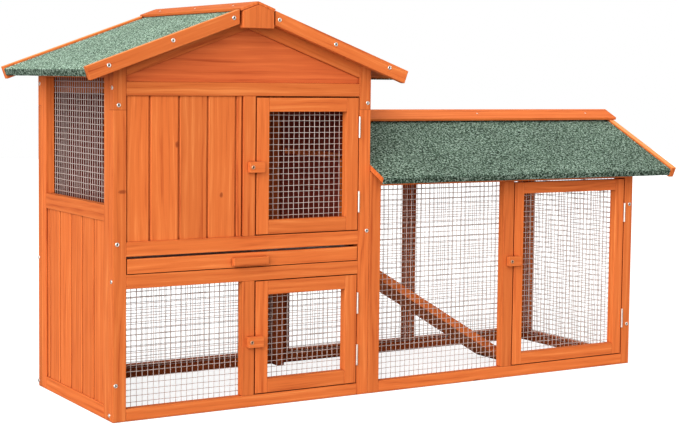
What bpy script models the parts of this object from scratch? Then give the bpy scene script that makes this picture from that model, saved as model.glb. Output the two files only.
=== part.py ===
"""Two-storey wooden rabbit hutch with a covered wire run.

Metres, +Z up. The origin is at the centre of the base: the hutch stands on Z = 0, its length runs
along X with the house at -X and the run at +X, and its front faces -Y. Every board, panel, sheet of
mesh, door and fitting is an object of its own, and each moving piece hangs on an empty that lies on
its joint's axis.
"""

import math

import bmesh
import bpy
from mathutils import Matrix, Vector

# Overall sizes
LENGTH = 1.550
HOUSE_OVERHANG = 0.073
HOUSE_WIDTH = 0.610
RUN_LENGTH = 0.774
DEPTH = 0.430

# Boards and sheets
FRAME_THICK = 0.020
STILE = 0.029
SIDE_STILE = 0.0277
BOARD_THICK = 0.008
DECK_THICK = 0.012
FELT_THICK = 0.002
MESH_THICK = 0.0005
MESH_LAP = 0.008
GAP = 0.0003

# Heights of the house front, from the ground up
BOTTOM_RAIL_TOP = 0.026
BACK_RAIL_TOP = 0.031
LOWER_ROOM_TOP = 0.272
SLOT_BOTTOM = 0.301
SLOT_TOP = 0.338
UPPER_ROOM_BOTTOM = 0.368
UPPER_ROOM_TOP = 0.664
TIE_TOP = 0.692
POST_TOP = 0.635
SIDE_TOP = 0.727
SIDE_RAIL_BOTTOM = 0.408
SIDE_RAIL_TOP = 0.441
SIDE_BASE_TOP = 0.029

# Places along the house front, from its left edge
LATCH_STILE = 0.294
DOOR_LEFT = 0.326
DOOR_RIGHT = 0.579

# The run's front, from the house's left edge
RUN_POST_RIGHT = 0.640
RUN_STILE_LEFT = 0.984
RUN_STILE_RIGHT = 1.014
RUN_DOOR_LEFT = 1.017
RUN_DOOR_RIGHT = 1.356
RUN_END_POST = 0.025
RUN_RAIL_BOTTOM = 0.466
RUN_FRAME_TOP = 0.498

# Doors
DOOR_RAIL = 0.030
RUN_DOOR_RAIL = 0.027
UPPER_DOOR_Z = (0.370, 0.661)
LOWER_DOOR_Z = (0.028, 0.270)
RUN_DOOR_Z = (0.028, 0.463)
UPPER_DOOR_HINGES_Z = (0.597, 0.4325)
LOWER_DOOR_HINGES_Z = (0.207, 0.091)
RUN_DOOR_HINGES_Z = (0.380, 0.116)
HINGE_LENGTH = 0.047
HINGE_BARREL = 0.0022
HINGE_BARREL_SIDES = 10
HINGE_Y = -0.0025
HINGE_GAP = 0.001
LEAF_WIDTH = 0.016
LEAF_HALF_ANGLE = math.radians(12)

# Turn buttons
BUTTON_TAIL = 0.008
BUTTON_REACH = 0.029
BUTTON_HEIGHT = 0.023
BUTTON_THICK = 0.012
BUTTON_CHAMFER = 0.003
BUTTON_INSET = 0.0115
UPPER_BUTTON_Z = 0.5145
LOWER_BUTTON_Z = 0.1415
RUN_BUTTON_Z = 0.2775

# House roof: a line along the top of the bargeboards, rising from the eave to the ridge
HOUSE_SLOPE = math.radians(20.0)
HOUSE_EAVE_Z = 0.721
HOUSE_ROOF_HALF = 0.2387
HOUSE_BARGE_DEPTH = 0.029
HOUSE_BARGE_GAP = 0.001
HOUSE_FELT_DROP = 0.0046
BARGE_THICK = 0.015
CAP_HALF_WIDTH = 0.0405
CAP_THICK = 0.007
CAP_END = 0.256
BLOCK_HALF_WIDTH = 0.036
BLOCK_BOTTOM = 0.805
BLOCK_PROUD = 0.006
RAFTER_WIDTH = 0.031

# Run roof
RUN_SLOPE = math.radians(25.5)
RUN_EAVE_Z = 0.492
RUN_EAVE_OVERHANG = 0.060
RUN_BARGE_DEPTH = 0.026
RUN_FELT_DROP = 0.0045
RUN_CAP_HALF_WIDTH = 0.042
RUN_CAP_PROUD = 0.005

# Vertical boards with V grooves
GROOVE_HALF_WIDTH = 0.0022
GROOVE_DEPTH = 0.0025
FRONT_BOARD_PITCH = 0.0655
FRONT_FIRST_BOARD = 0.0525
SIDE_BOARD_PITCH = 0.0645
SIDE_FIRST_BOARD = 0.0625
BACK_BOARD_PITCH = 0.0690

# How far the boards lie behind the faces of their frames
WALL_RECESS = 0.004
SIDE_RECESS = 0.003
GABLE_RECESS = 0.006

# Ramp, doorway and shutter between the upper room and the run
RAMP_CENTRE_Y = -0.0075
RAMP_WIDTH = 0.130
RAMP_SLOPE = math.radians(31.1)
RAMP_TOP_Z = 0.328
RAMP_THICK = 0.020
DOORWAY_Y = (-0.105, 0.150)
DOORWAY_Z = (0.335, 0.534)
SHUTTER_THICK = 0.005
SHUTTER_LAP = 0.010
SHUTTER_PLAY = 0.0005
SHUTTER_Z = (0.3055, 0.522)

# Tray
TRAY_WALL = 0.0010
TRAY_PLAY = 0.004
TRAY_TOP = 0.331
TRAY_BACK = 0.188
TRAY_FRONT_THICK = 0.012
TRAY_FRONT_PLAY = 0.002
TRAY_FRONT_Z = (0.3025, 0.3330)
TRAY_HANDLE_X = (0.267, 0.352)
TRAY_HANDLE_Z = (0.3065, 0.3240)
TRAY_HANDLE_THICK = 0.012
FLOOR_THICK = 0.010

# Derived places
HOUSE_LEFT = -LENGTH / 2 + HOUSE_OVERHANG
HOUSE_RIGHT = HOUSE_LEFT + HOUSE_WIDTH
HOUSE_RIDGE_X = (HOUSE_LEFT + HOUSE_RIGHT) / 2
RUN_LEFT = HOUSE_RIGHT + GAP
RUN_RIGHT = HOUSE_RIGHT + RUN_LENGTH
FRONT = -DEPTH / 2
BACK = DEPTH / 2
INSIDE_HALF = BACK - FRAME_THICK - GAP
SIDE_INNER = INSIDE_HALF - SIDE_STILE
ROOF_TO_WALL = GAP

FACING = {
    "front": (math.radians(90), 0.0, 0.0),
    "side": (math.radians(90), 0.0, math.radians(90)),
    "flat": (0.0, 0.0, 0.0),
}


# ---------------------------------------------------------------- scene, materials, basic shapes


def clear_scene():
    for obj in list(bpy.data.objects):
        bpy.data.objects.remove(obj, do_unlink=True)


def make_collection(name):
    collection = bpy.data.collections.new(name)
    bpy.context.scene.collection.children.link(collection)
    return collection


def make_material(name, colour, roughness, metallic=0.0):
    material = bpy.data.materials.new(name)
    material.use_nodes = True
    shader = material.node_tree.nodes["Principled BSDF"]
    shader.inputs["Base Color"].default_value = (*colour, 1.0)
    shader.inputs["Roughness"].default_value = roughness
    shader.inputs["Metallic"].default_value = metallic
    return material


def place(name, data, material, location=(0.0, 0.0, 0.0), facing="flat"):
    obj = bpy.data.objects.new(name, data)
    data.materials.append(material)
    obj.location = location
    obj.rotation_euler = FACING[facing]
    HUTCH.objects.link(obj)
    return obj


def box(name, low, high, material):
    """A plain board between two corners, with its origin at its centre."""
    low, high = Vector(low), Vector(high)
    shape = bmesh.new()
    bmesh.ops.create_cube(shape, size=1.0)
    bmesh.ops.scale(shape, vec=high - low, verts=shape.verts)
    mesh = bpy.data.meshes.new(name)
    shape.to_mesh(mesh)
    shape.free()
    return place(name, mesh, material, (low + high) / 2)


def plate(name, outline, holes, span, facing, material):
    """A flat outline with holes, as thick as span.

    The outline's own axes are X and Z for facing "front", Y and Z for "side", and X and Y for
    "flat". span holds the two ends of the thickness, along Y, X and Z.
    """
    curve = bpy.data.curves.new(name, "CURVE")
    curve.dimensions = "2D"
    curve.fill_mode = "BOTH"
    curve.extrude = (span[1] - span[0]) / 2
    for loop in (outline, *holes):
        spline = curve.splines.new("POLY")
        spline.points.add(len(loop) - 1)
        for point, (across, up) in zip(spline.points, loop):
            point.co = (across, up, 0.0, 1.0)
        spline.use_cyclic_u = True
    middle = (span[0] + span[1]) / 2
    location = {
        "front": (0.0, middle, 0.0),
        "side": (middle, 0.0, 0.0),
        "flat": (0.0, 0.0, middle),
    }[facing]
    return place(name, curve, material, location, facing)


def rectangle(across, up):
    """The four corners between the two ends of each axis."""
    return [
        (across[0], up[0]),
        (across[1], up[0]),
        (across[1], up[1]),
        (across[0], up[1]),
    ]


def shrunk(span, by):
    return (span[0] + by, span[1] - by)


def joint_empty(name, location):
    empty = bpy.data.objects.new(name, None)
    empty.empty_display_size = 0.03
    empty.location = location
    HUTCH.objects.link(empty)
    return empty


def hang(empty, pieces):
    """Parents the pieces to a joint's empty and leaves them where they are."""
    for piece in pieces:
        piece.parent = empty
        piece.matrix_parent_inverse = Matrix.Translation(-empty.location)


# ---------------------------------------------------------------- roof geometry


class Slope:
    """The left half of a gable, seen along its ridge.

    across and up are the section's two axes. The slope's line runs along the top of the
    bargeboards, from the eave up to the ridge, and offsets are square to it, positive upwards.
    """

    def __init__(self, eave, angle, ridge):
        self.eave = eave
        self.angle = angle
        self.ridge = ridge

    def at(self, across, offset):
        """The point where the offset line passes a place across the section."""
        rise = (across - self.eave[0]) * math.tan(self.angle)
        return (across, self.eave[1] + rise + offset / math.cos(self.angle))

    def meets(self, up, offset):
        """The point where the offset line passes a height."""
        over = up - self.eave[1] - offset / math.cos(self.angle)
        return (self.eave[0] + over / math.tan(self.angle), up)

    def square(self, along, offset):
        """The point a distance along the line and an offset square to it."""
        cos, sin = math.cos(self.angle), math.sin(self.angle)
        return (
            self.eave[0] + along * cos - offset * sin,
            self.eave[1] + along * sin + offset * cos,
        )

    def strip(self, along, end, high, low):
        """A board that follows the slope, cut square at its foot and plumb at its top."""
        return [
            self.square(along, high),
            self.square(along, low),
            self.at(end, low),
            self.at(end, high),
        ]

    def felt(self, drop, wrap):
        """Felt of even thickness on the deck, folded down over the deck's edge."""
        end = self.ridge - GAP
        under = -drop - FELT_THICK
        return [
            self.square(0.0, -drop),
            self.square(0.0, -wrap),
            self.square(FELT_THICK, -wrap),
            self.square(FELT_THICK, under),
            self.at(end, under),
            self.at(end, -drop),
        ]

    def mirrored(self, points):
        return [(2 * self.ridge - across, up) for across, up in reversed(points)]


HOUSE_ROOF = Slope(
    (HOUSE_LEFT - HOUSE_OVERHANG, HOUSE_EAVE_Z), HOUSE_SLOPE, HOUSE_RIDGE_X
)
RUN_ROOF = Slope((FRONT - RUN_EAVE_OVERHANG, RUN_EAVE_Z), RUN_SLOPE, 0.0)


def deck_bottom(drop):
    return drop + FELT_THICK + GAP + DECK_THICK


HOUSE_WALL_OFFSET = -deck_bottom(HOUSE_FELT_DROP) - ROOF_TO_WALL
RUN_WALL_OFFSET = -deck_bottom(RUN_FELT_DROP) - ROOF_TO_WALL


def roof_slopes(prefix, slope, names, drop, span, facing):
    """The deck and the felt of both slopes of one roof."""
    foot = FELT_THICK + GAP
    deck = slope.strip(
        foot, slope.ridge - GAP, -drop - FELT_THICK - GAP, -deck_bottom(drop)
    )
    felt = slope.felt(drop, deck_bottom(drop) + FELT_THICK)
    for side, turned in zip(names, (False, True)):
        for kind, outline, material in (("deck", deck, WOOD), ("felt", felt, FELT)):
            shape = slope.mirrored(outline) if turned else outline
            plate(f"{prefix}_roof_{kind}_{side}", shape, [], span, facing, material)


def build_house_roof():
    roof = HOUSE_ROOF
    half = HOUSE_ROOF_HALF
    roof_slopes("house", roof, ("left", "right"), HOUSE_FELT_DROP, (-half, half), "front")

    barge_end = roof.ridge - CAP_HALF_WIDTH - HOUSE_BARGE_GAP
    barge = roof.strip(0.0, barge_end, 0.0, -HOUSE_BARGE_DEPTH)
    cap_foot = (roof.ridge - CAP_HALF_WIDTH - roof.eave[0]) / math.cos(roof.angle)
    cap_low = -HOUSE_FELT_DROP + GAP
    cap = roof.strip(cap_foot, roof.ridge - GAP, cap_low + CAP_THICK, cap_low)
    block_side = roof.ridge - BLOCK_HALF_WIDTH
    block = [
        (block_side, BLOCK_BOTTOM),
        (2 * roof.ridge - block_side, BLOCK_BOTTOM),
        roof.mirrored([roof.at(block_side, -HOUSE_FELT_DROP)])[0],
        roof.at(roof.ridge, -HOUSE_FELT_DROP),
        roof.at(block_side, -HOUSE_FELT_DROP),
    ]
    barge_near = half + GAP
    barge_far = barge_near + BARGE_THICK
    for end, sign in (("front", -1), ("back", 1)):
        barge_span = sorted((sign * barge_near, sign * barge_far))
        block_span = sorted((sign * barge_near, sign * (barge_far + BLOCK_PROUD)))
        name = f"house_bargeboard_{end}"
        plate(f"{name}_left", barge, [], barge_span, "front", WOOD)
        plate(f"{name}_right", roof.mirrored(barge), [], barge_span, "front", WOOD)
        plate(f"house_ridge_block_{end}", block, [], block_span, "front", WOOD)
    cap_span = (-CAP_END, CAP_END)
    plate("house_ridge_cap_left", cap, [], cap_span, "front", WOOD)
    plate("house_ridge_cap_right", roof.mirrored(cap), [], cap_span, "front", WOOD)


def build_run_roof():
    roof = RUN_ROOF
    outer = LENGTH / 2
    barge_span = (outer - RUN_CAP_PROUD - BARGE_THICK, outer - RUN_CAP_PROUD)
    left = RUN_LEFT + GAP
    deck_span = (left, barge_span[0] - GAP)
    roof_slopes("run", roof, ("front", "back"), RUN_FELT_DROP, deck_span, "side")

    barge = roof.strip(0.0, roof.ridge - GAP, 0.0, -RUN_BARGE_DEPTH)
    plate("run_bargeboard_front", barge, [], barge_span, "side", WOOD)
    plate("run_bargeboard_back", roof.mirrored(barge), [], barge_span, "side", WOOD)

    # The two boards of this cap are glued along the ridge into one angled piece.
    cap_foot = (roof.ridge - RUN_CAP_HALF_WIDTH - roof.eave[0]) / math.cos(roof.angle)
    cap_top = GAP + CAP_THICK
    foot = [roof.square(cap_foot, cap_top), roof.square(cap_foot, GAP)]
    under, over = roof.at(roof.ridge, GAP), roof.at(roof.ridge, cap_top)
    cap = [*foot, under, *roof.mirrored(foot), over]
    plate("run_ridge_cap", cap, [], (left, outer), "side", WOOD)


# ---------------------------------------------------------------- frames, boards and mesh


def gable_opening(inset):
    """The opening between the tie rail, the legs and the two rafters."""
    left = HOUSE_LEFT + STILE + inset
    right = HOUSE_RIGHT - STILE - inset
    offset = HOUSE_WALL_OFFSET - RAFTER_WIDTH - inset
    shoulder = HOUSE_ROOF.at(left, offset)
    return [
        (left, TIE_TOP + inset),
        (right, TIE_TOP + inset),
        (right, shoulder[1]),
        HOUSE_ROOF.at(HOUSE_RIDGE_X, offset),
        shoulder,
    ]


def gable_top():
    """The three points where a gable wall meets the underside of the house roof."""
    left = HOUSE_ROOF.at(HOUSE_LEFT, HOUSE_WALL_OFFSET)
    return [
        (HOUSE_RIGHT, left[1]),
        HOUSE_ROOF.at(HOUSE_RIDGE_X, HOUSE_WALL_OFFSET),
        left,
    ]


def grooved(along, outer, inner, pitch, first):
    """A board panel's section: a straight inner face, and V grooves in its outer face."""
    into = math.copysign(GROOVE_DEPTH, inner - outer)
    points = [(along[0], inner), (along[0], outer)]
    groove = along[0] + first
    while groove < along[1] - GROOVE_HALF_WIDTH:
        points += [
            (groove - GROOVE_HALF_WIDTH, outer),
            (groove, outer + into),
            (groove + GROOVE_HALF_WIDTH, outer),
        ]
        groove += pitch
    return points + [(along[1], outer), (along[1], inner)]


def swapped(points):
    return [(across, along) for along, across in reversed(points)]


def lapped(across, up):
    """A sheet of mesh that laps over the edges of an opening."""
    return rectangle(shrunk(across, -MESH_LAP), shrunk(up, -MESH_LAP))


def front_x(*places):
    """Places along the front, given from the house's left edge."""
    return tuple(HOUSE_LEFT + place for place in places)


def build_house_front():
    left, right = HOUSE_LEFT, HOUSE_RIGHT
    inner_left, inner_right = left + STILE, right - STILE
    (stile,) = front_x(LATCH_STILE)
    stile_right = stile + STILE
    span = (FRONT, FRONT + FRAME_THICK)
    outline = [
        (left, 0.0),
        (right, 0.0),
        (right, POST_TOP),
        (inner_right, POST_TOP),
        (inner_right, UPPER_ROOM_BOTTOM),
        (stile_right, UPPER_ROOM_BOTTOM),
        (stile_right, UPPER_ROOM_TOP),
        (stile, UPPER_ROOM_TOP),
        (stile, UPPER_ROOM_BOTTOM),
        (inner_left, UPPER_ROOM_BOTTOM),
        (inner_left, POST_TOP),
        (left, POST_TOP),
    ]
    low = (BOTTOM_RAIL_TOP, LOWER_ROOM_TOP)
    holes = [
        rectangle((inner_left, stile), low),
        rectangle((stile_right, inner_right), low),
        rectangle((inner_left, inner_right), (SLOT_BOTTOM, SLOT_TOP)),
    ]
    plate("front_frame", outline, holes, span, "front", WOOD)

    legs = [
        (left, POST_TOP + GAP),
        (inner_left, POST_TOP + GAP),
        (inner_left, UPPER_ROOM_TOP + GAP),
        (inner_right, UPPER_ROOM_TOP + GAP),
        (inner_right, POST_TOP + GAP),
        (right, POST_TOP + GAP),
    ]
    gable = legs + gable_top()
    plate("front_gable_frame", gable, [gable_opening(0.0)], span, "front", WOOD)
    board_front = FRONT + GABLE_RECESS
    board_span = (board_front, board_front + BOARD_THICK)
    plate("front_gable_board", gable_opening(GAP), [], board_span, "front", WOOD)

    outer = FRONT + WALL_RECESS
    boards = grooved(
        shrunk((inner_left, stile), GAP),
        outer,
        outer + BOARD_THICK,
        FRONT_BOARD_PITCH,
        FRONT_FIRST_BOARD,
    )
    board_z = shrunk((UPPER_ROOM_BOTTOM, UPPER_ROOM_TOP), GAP)
    plate("front_board_panel", boards, [], board_z, "flat", WOOD)

    behind = span[1] + GAP
    sheet = lapped((inner_left, stile), low)
    mesh_span = (behind, behind + MESH_THICK)
    plate("front_lower_mesh", sheet, [], mesh_span, "front", WIRE)


def side_frame_outline():
    return rectangle((-INSIDE_HALF, INSIDE_HALF), (0.0, SIDE_TOP))


def build_house_sides():
    across = (-SIDE_INNER, SIDE_INNER)
    base = (SIDE_BASE_TOP, SIDE_RAIL_BOTTOM)
    window = (SIDE_RAIL_TOP, SIDE_TOP - SIDE_STILE)
    left_span = (HOUSE_LEFT, HOUSE_LEFT + FRAME_THICK)
    holes = [rectangle(across, base), rectangle(across, window)]
    plate("left_side_frame", side_frame_outline(), holes, left_span, "side", WOOD)

    outer = HOUSE_LEFT + SIDE_RECESS
    inner = outer + BOARD_THICK
    boards = grooved(
        shrunk(across, GAP), outer, inner, SIDE_BOARD_PITCH, SIDE_FIRST_BOARD
    )
    plate("left_side_boards", swapped(boards), [], shrunk(base, GAP), "flat", WOOD)
    mesh_low = left_span[1] + GAP
    mesh_span = (mesh_low, mesh_low + MESH_THICK)
    plate("left_window_mesh", lapped(across, window), [], mesh_span, "side", WIRE)

    # The wall towards the run stands on two legs, so that the lower room opens into the run.
    inside, edge = SIDE_INNER, INSIDE_HALF
    outline = [
        (-edge, 0.0),
        (-inside, 0.0),
        (-inside, LOWER_ROOM_TOP),
        (inside, LOWER_ROOM_TOP),
        (inside, 0.0),
        (edge, 0.0),
        (edge, SIDE_TOP),
        (-edge, SIDE_TOP),
    ]
    wall = (SLOT_BOTTOM, SIDE_TOP - SIDE_STILE)
    right_span = (HOUSE_RIGHT - FRAME_THICK, HOUSE_RIGHT)
    holes = [rectangle(across, wall)]
    plate("divider_frame", outline, holes, right_span, "side", WOOD)
    panel = rectangle(shrunk(across, GAP), shrunk(wall, GAP))
    panel_inner = HOUSE_RIGHT - WALL_RECESS - BOARD_THICK
    panel_span = (panel_inner, panel_inner + BOARD_THICK)
    doorway = rectangle(DOORWAY_Y, DOORWAY_Z)
    plate("divider_boards", panel, [doorway], panel_span, "side", WOOD)
    build_shutter(panel_inner - SHUTTER_PLAY)


def build_shutter(high):
    """The board that closes the doorway, in the recess behind the wall. It lifts to open it."""
    outline = rectangle(shrunk(DOORWAY_Y, -SHUTTER_LAP), SHUTTER_Z)
    span = (high - SHUTTER_THICK, high)
    board = plate("doorway_shutter", outline, [], span, "side", WOOD)
    hang(joint_empty("shutter_slide", (high, 0.0, SHUTTER_Z[0])), [board])


def build_house_back():
    left, right = HOUSE_LEFT, HOUSE_RIGHT
    across = (left + STILE, right - STILE)
    span = (BACK - FRAME_THICK, BACK)
    low = (BACK_RAIL_TOP, LOWER_ROOM_TOP)
    upper = (SLOT_BOTTOM, UPPER_ROOM_TOP)
    outline = [(left, 0.0), (right, 0.0)] + gable_top()
    holes = [rectangle(across, low), rectangle(across, upper), gable_opening(0.0)]
    plate("back_frame", outline, holes, span, "front", WOOD)
    board_back = BACK - GABLE_RECESS
    board_span = (board_back - BOARD_THICK, board_back)
    plate("back_gable_board", gable_opening(GAP), [], board_span, "front", WOOD)

    outer = BACK - WALL_RECESS
    boards = grooved(
        shrunk(across, GAP), outer, outer - BOARD_THICK, BACK_BOARD_PITCH, BACK_BOARD_PITCH
    )
    boards = list(reversed(boards))
    plate("back_board_panel", boards, [], shrunk(upper, GAP), "flat", WOOD)

    mesh_high = span[0] - GAP
    mesh_span = (mesh_high - MESH_THICK, mesh_high)
    plate("back_lower_mesh", lapped(across, low), [], mesh_span, "front", WIRE)


def build_floor_and_ramp():
    inner_left = HOUSE_LEFT + FRAME_THICK + GAP
    inner_right = HOUSE_RIGHT - FRAME_THICK - GAP
    top = SLOT_BOTTOM - GAP
    box(
        "upper_floor",
        (inner_left, -INSIDE_HALF, top - FLOOR_THICK),
        (inner_right, INSIDE_HALF, top),
        WOOD,
    )

    # The ramp's section, cut plumb against the wall and level at its foot.
    start = RUN_LEFT + GAP
    tan = math.tan(RAMP_SLOPE)
    foot = start + RAMP_TOP_Z / tan
    drop = RAMP_THICK / math.cos(RAMP_SLOPE)
    section = [
        (start, RAMP_TOP_Z - drop),
        (foot - drop / tan, 0.0),
        (foot, 0.0),
        (start, RAMP_TOP_Z),
    ]
    half = RAMP_WIDTH / 2
    ramp_span = (RAMP_CENTRE_Y - half, RAMP_CENTRE_Y + half)
    plate("ramp", section, [], ramp_span, "front", WOOD)


def build_run():
    left = RUN_LEFT
    post, stile_left, stile_right = front_x(RUN_POST_RIGHT, RUN_STILE_LEFT, RUN_STILE_RIGHT)
    end_post = RUN_RIGHT - RUN_END_POST
    opening = (BOTTOM_RAIL_TOP, RUN_RAIL_BOTTOM)
    outline = rectangle((left, RUN_RIGHT), (0.0, RUN_FRAME_TOP))
    holes = [
        rectangle((post, stile_left), opening),
        rectangle((stile_right, end_post), opening),
    ]
    front_span = (FRONT, FRONT + FRAME_THICK)
    back_span = (BACK - FRAME_THICK, BACK)
    plate("run_front_frame", outline, holes, front_span, "front", WOOD)
    back_opening = (BACK_RAIL_TOP, RUN_RAIL_BOTTOM)
    holes = [
        rectangle((post, stile_left), back_opening),
        rectangle((stile_right, end_post), back_opening),
    ]
    plate("run_back_frame", outline, holes, back_span, "front", WOOD)

    front_mesh = (front_span[1] + GAP, front_span[1] + GAP + MESH_THICK)
    back_mesh = (back_span[0] - GAP - MESH_THICK, back_span[0] - GAP)
    sheet = lapped((post, stile_left), opening)
    plate("run_front_mesh", sheet, [], front_mesh, "front", WIRE)
    sheet_right = RUN_RIGHT - FRAME_THICK - MESH_THICK - 3 * GAP
    sheet = rectangle((post - MESH_LAP, sheet_right), shrunk(back_opening, -MESH_LAP))
    plate("run_back_mesh", sheet, [], back_mesh, "front", WIRE)

    roof = RUN_ROOF
    edge, inside = INSIDE_HALF, SIDE_INNER
    end_span = (RUN_RIGHT - FRAME_THICK, RUN_RIGHT)
    eave = roof.at(-edge, RUN_WALL_OFFSET)
    outline = [
        (-edge, 0.0),
        (edge, 0.0),
        (edge, eave[1]),
        roof.at(0.0, RUN_WALL_OFFSET),
        eave,
    ]
    rail = (RUN_RAIL_BOTTOM, RUN_RAIL_BOTTOM + SIDE_STILE)
    offset = RUN_WALL_OFFSET - SIDE_STILE
    foot = roof.meets(rail[1], offset)
    gable = [foot, (-foot[0], foot[1]), roof.at(0.0, offset)]
    holes = [rectangle((-inside, inside), opening), gable]
    plate("run_end_frame", outline, holes, end_span, "side", WOOD)
    high = end_span[0] - GAP
    lap = MESH_LAP
    peak = roof.at(0.0, offset + lap)
    sheet_side = roof.at(-inside - lap, offset + lap)
    sheet = [
        (-inside - lap, opening[0] - lap),
        (inside + lap, opening[0] - lap),
        (inside + lap, sheet_side[1]),
        peak,
        sheet_side,
    ]
    plate("run_end_mesh", sheet, [], (high - MESH_THICK, high), "side", WIRE)


# ---------------------------------------------------------------- doors, buttons and tray


def hinge(name, axis_x, middle_z):
    """A barrel on the hinge axis, with the leaf that is screwed to the door's edge."""
    start = math.radians(90) + LEAF_HALF_ANGLE
    turn = (math.radians(360) - 2 * LEAF_HALF_ANGLE) / HINGE_BARREL_SIDES
    angles = [start + turn * number for number in range(HINGE_BARREL_SIDES + 1)]
    section = [
        (axis_x + HINGE_BARREL * math.cos(a), FRONT + HINGE_Y + HINGE_BARREL * math.sin(a))
        for a in angles
    ]
    tail = FRONT + LEAF_WIDTH
    section += [(section[-1][0], tail), (section[0][0], tail)]
    span = (middle_z - HINGE_LENGTH / 2, middle_z + HINGE_LENGTH / 2)
    return plate(name, section, [], span, "flat", STEEL)


def build_door(name, across, up, rail, hinge_heights):
    """A framed mesh door on two butt hinges at its right edge, swinging out of the front."""
    span = (FRONT, FRONT + FRAME_THICK)
    opening = (shrunk(across, rail), shrunk(up, rail))
    frame = plate(
        f"{name}_frame", rectangle(across, up), [rectangle(*opening)], span, "front", WOOD
    )
    mesh_low = span[1] + GAP
    mesh_span = (mesh_low, mesh_low + MESH_THICK)
    sheet = plate(f"{name}_mesh", lapped(*opening), [], mesh_span, "front", WIRE)
    axis_x = across[1] + HINGE_GAP
    hinges = [
        hinge(f"{name}_hinge_{where}", axis_x, height)
        for where, height in zip(("top", "bottom"), hinge_heights)
    ]
    axis = joint_empty(f"{name}_axis", (axis_x, FRONT + HINGE_Y, up[0]))
    hang(axis, [frame, sheet, *hinges])


def build_button(name, pivot_x, middle_z):
    """A wooden turn button that lies across the gap and holds its door shut."""
    tail, reach = pivot_x - BUTTON_TAIL, pivot_x + BUTTON_REACH
    low, high = middle_z - BUTTON_HEIGHT / 2, middle_z + BUTTON_HEIGHT / 2
    cut = BUTTON_CHAMFER
    outline = [
        (tail + cut, low),
        (reach - cut, low),
        (reach, low + cut),
        (reach, high - cut),
        (reach - cut, high),
        (tail + cut, high),
        (tail, high - cut),
        (tail, low + cut),
    ]
    near = FRONT - GAP
    piece = plate(name, outline, [], (near - BUTTON_THICK, near), "front", WOOD)
    hang(joint_empty(f"{name}_axis", (pivot_x, near, middle_z)), [piece])


def build_tray():
    """A pull-out tray on the upper room's floor, with its front board and handle."""
    left, right = HOUSE_LEFT + STILE, HOUSE_RIGHT - STILE
    low = (left + TRAY_PLAY, FRONT + TRAY_FRONT_THICK + GAP, SLOT_BOTTOM + GAP)
    high = (right - TRAY_PLAY, TRAY_BACK, TRAY_TOP)
    pan = box("tray_pan", low, high, TRAY_METAL)
    shell = bmesh.new()
    shell.from_mesh(pan.data)
    lid = [face for face in shell.faces if face.normal.z > 0.5]
    bmesh.ops.delete(shell, geom=lid, context="FACES_ONLY")
    shell.to_mesh(pan.data)
    shell.free()
    walls = pan.modifiers.new("walls", "SOLIDIFY")
    walls.thickness = TRAY_WALL
    walls.offset = -1.0
    walls.use_even_offset = True

    x_low, x_high = left + TRAY_FRONT_PLAY, right - TRAY_FRONT_PLAY
    board = box(
        "tray_front",
        (x_low, FRONT, TRAY_FRONT_Z[0]),
        (x_high, FRONT + TRAY_FRONT_THICK, TRAY_FRONT_Z[1]),
        WOOD,
    )
    handle_left, handle_right = front_x(*TRAY_HANDLE_X)
    near = FRONT - GAP
    handle = box(
        "tray_handle",
        (handle_left, near - TRAY_HANDLE_THICK, TRAY_HANDLE_Z[0]),
        (handle_right, near, TRAY_HANDLE_Z[1]),
        WOOD,
    )
    hang(joint_empty("tray_slide", (HOUSE_RIDGE_X, FRONT, SLOT_BOTTOM)), [pan, board, handle])


def build_moving_pieces():
    door_x = front_x(DOOR_LEFT, DOOR_RIGHT)
    run_door_x = front_x(RUN_DOOR_LEFT, RUN_DOOR_RIGHT)
    build_door("upper_door", door_x, UPPER_DOOR_Z, DOOR_RAIL, UPPER_DOOR_HINGES_Z)
    build_door("lower_door", door_x, LOWER_DOOR_Z, DOOR_RAIL, LOWER_DOOR_HINGES_Z)
    build_door("run_door", run_door_x, RUN_DOOR_Z, RUN_DOOR_RAIL, RUN_DOOR_HINGES_Z)
    house_pivot, run_pivot = front_x(
        LATCH_STILE + STILE - BUTTON_INSET, RUN_STILE_RIGHT - BUTTON_INSET
    )
    build_button("upper_latch", house_pivot, UPPER_BUTTON_Z)
    build_button("lower_latch", house_pivot, LOWER_BUTTON_Z)
    build_button("run_latch", run_pivot, RUN_BUTTON_Z)
    build_tray()


clear_scene()
HUTCH = make_collection("rabbit_hutch")
WOOD = make_material("stained_fir", (0.72, 0.20, 0.055), 0.55)
FELT = make_material("green_felt", (0.10, 0.20, 0.12), 0.95)
WIRE = make_material("galvanised_wire", (0.62, 0.62, 0.60), 0.40, 1.0)
STEEL = make_material("zinc_steel", (0.75, 0.75, 0.74), 0.30, 1.0)
TRAY_METAL = make_material("tray_sheet", (0.55, 0.56, 0.57), 0.40, 1.0)

build_house_front()
build_house_sides()
build_house_back()
build_floor_and_ramp()
build_house_roof()
build_run()
build_run_roof()
build_moving_pieces()
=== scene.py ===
"""Looks of the wooden rabbit hutch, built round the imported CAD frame.

Metres, +Z up, front towards -Y. Every board, wire panel, felt, hinge and screw is a piece of its own
that rides on the CAD body it belongs to.
"""

import math

import bmesh
import bpy
import numpy as np
from mathutils import Matrix, Vector


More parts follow.
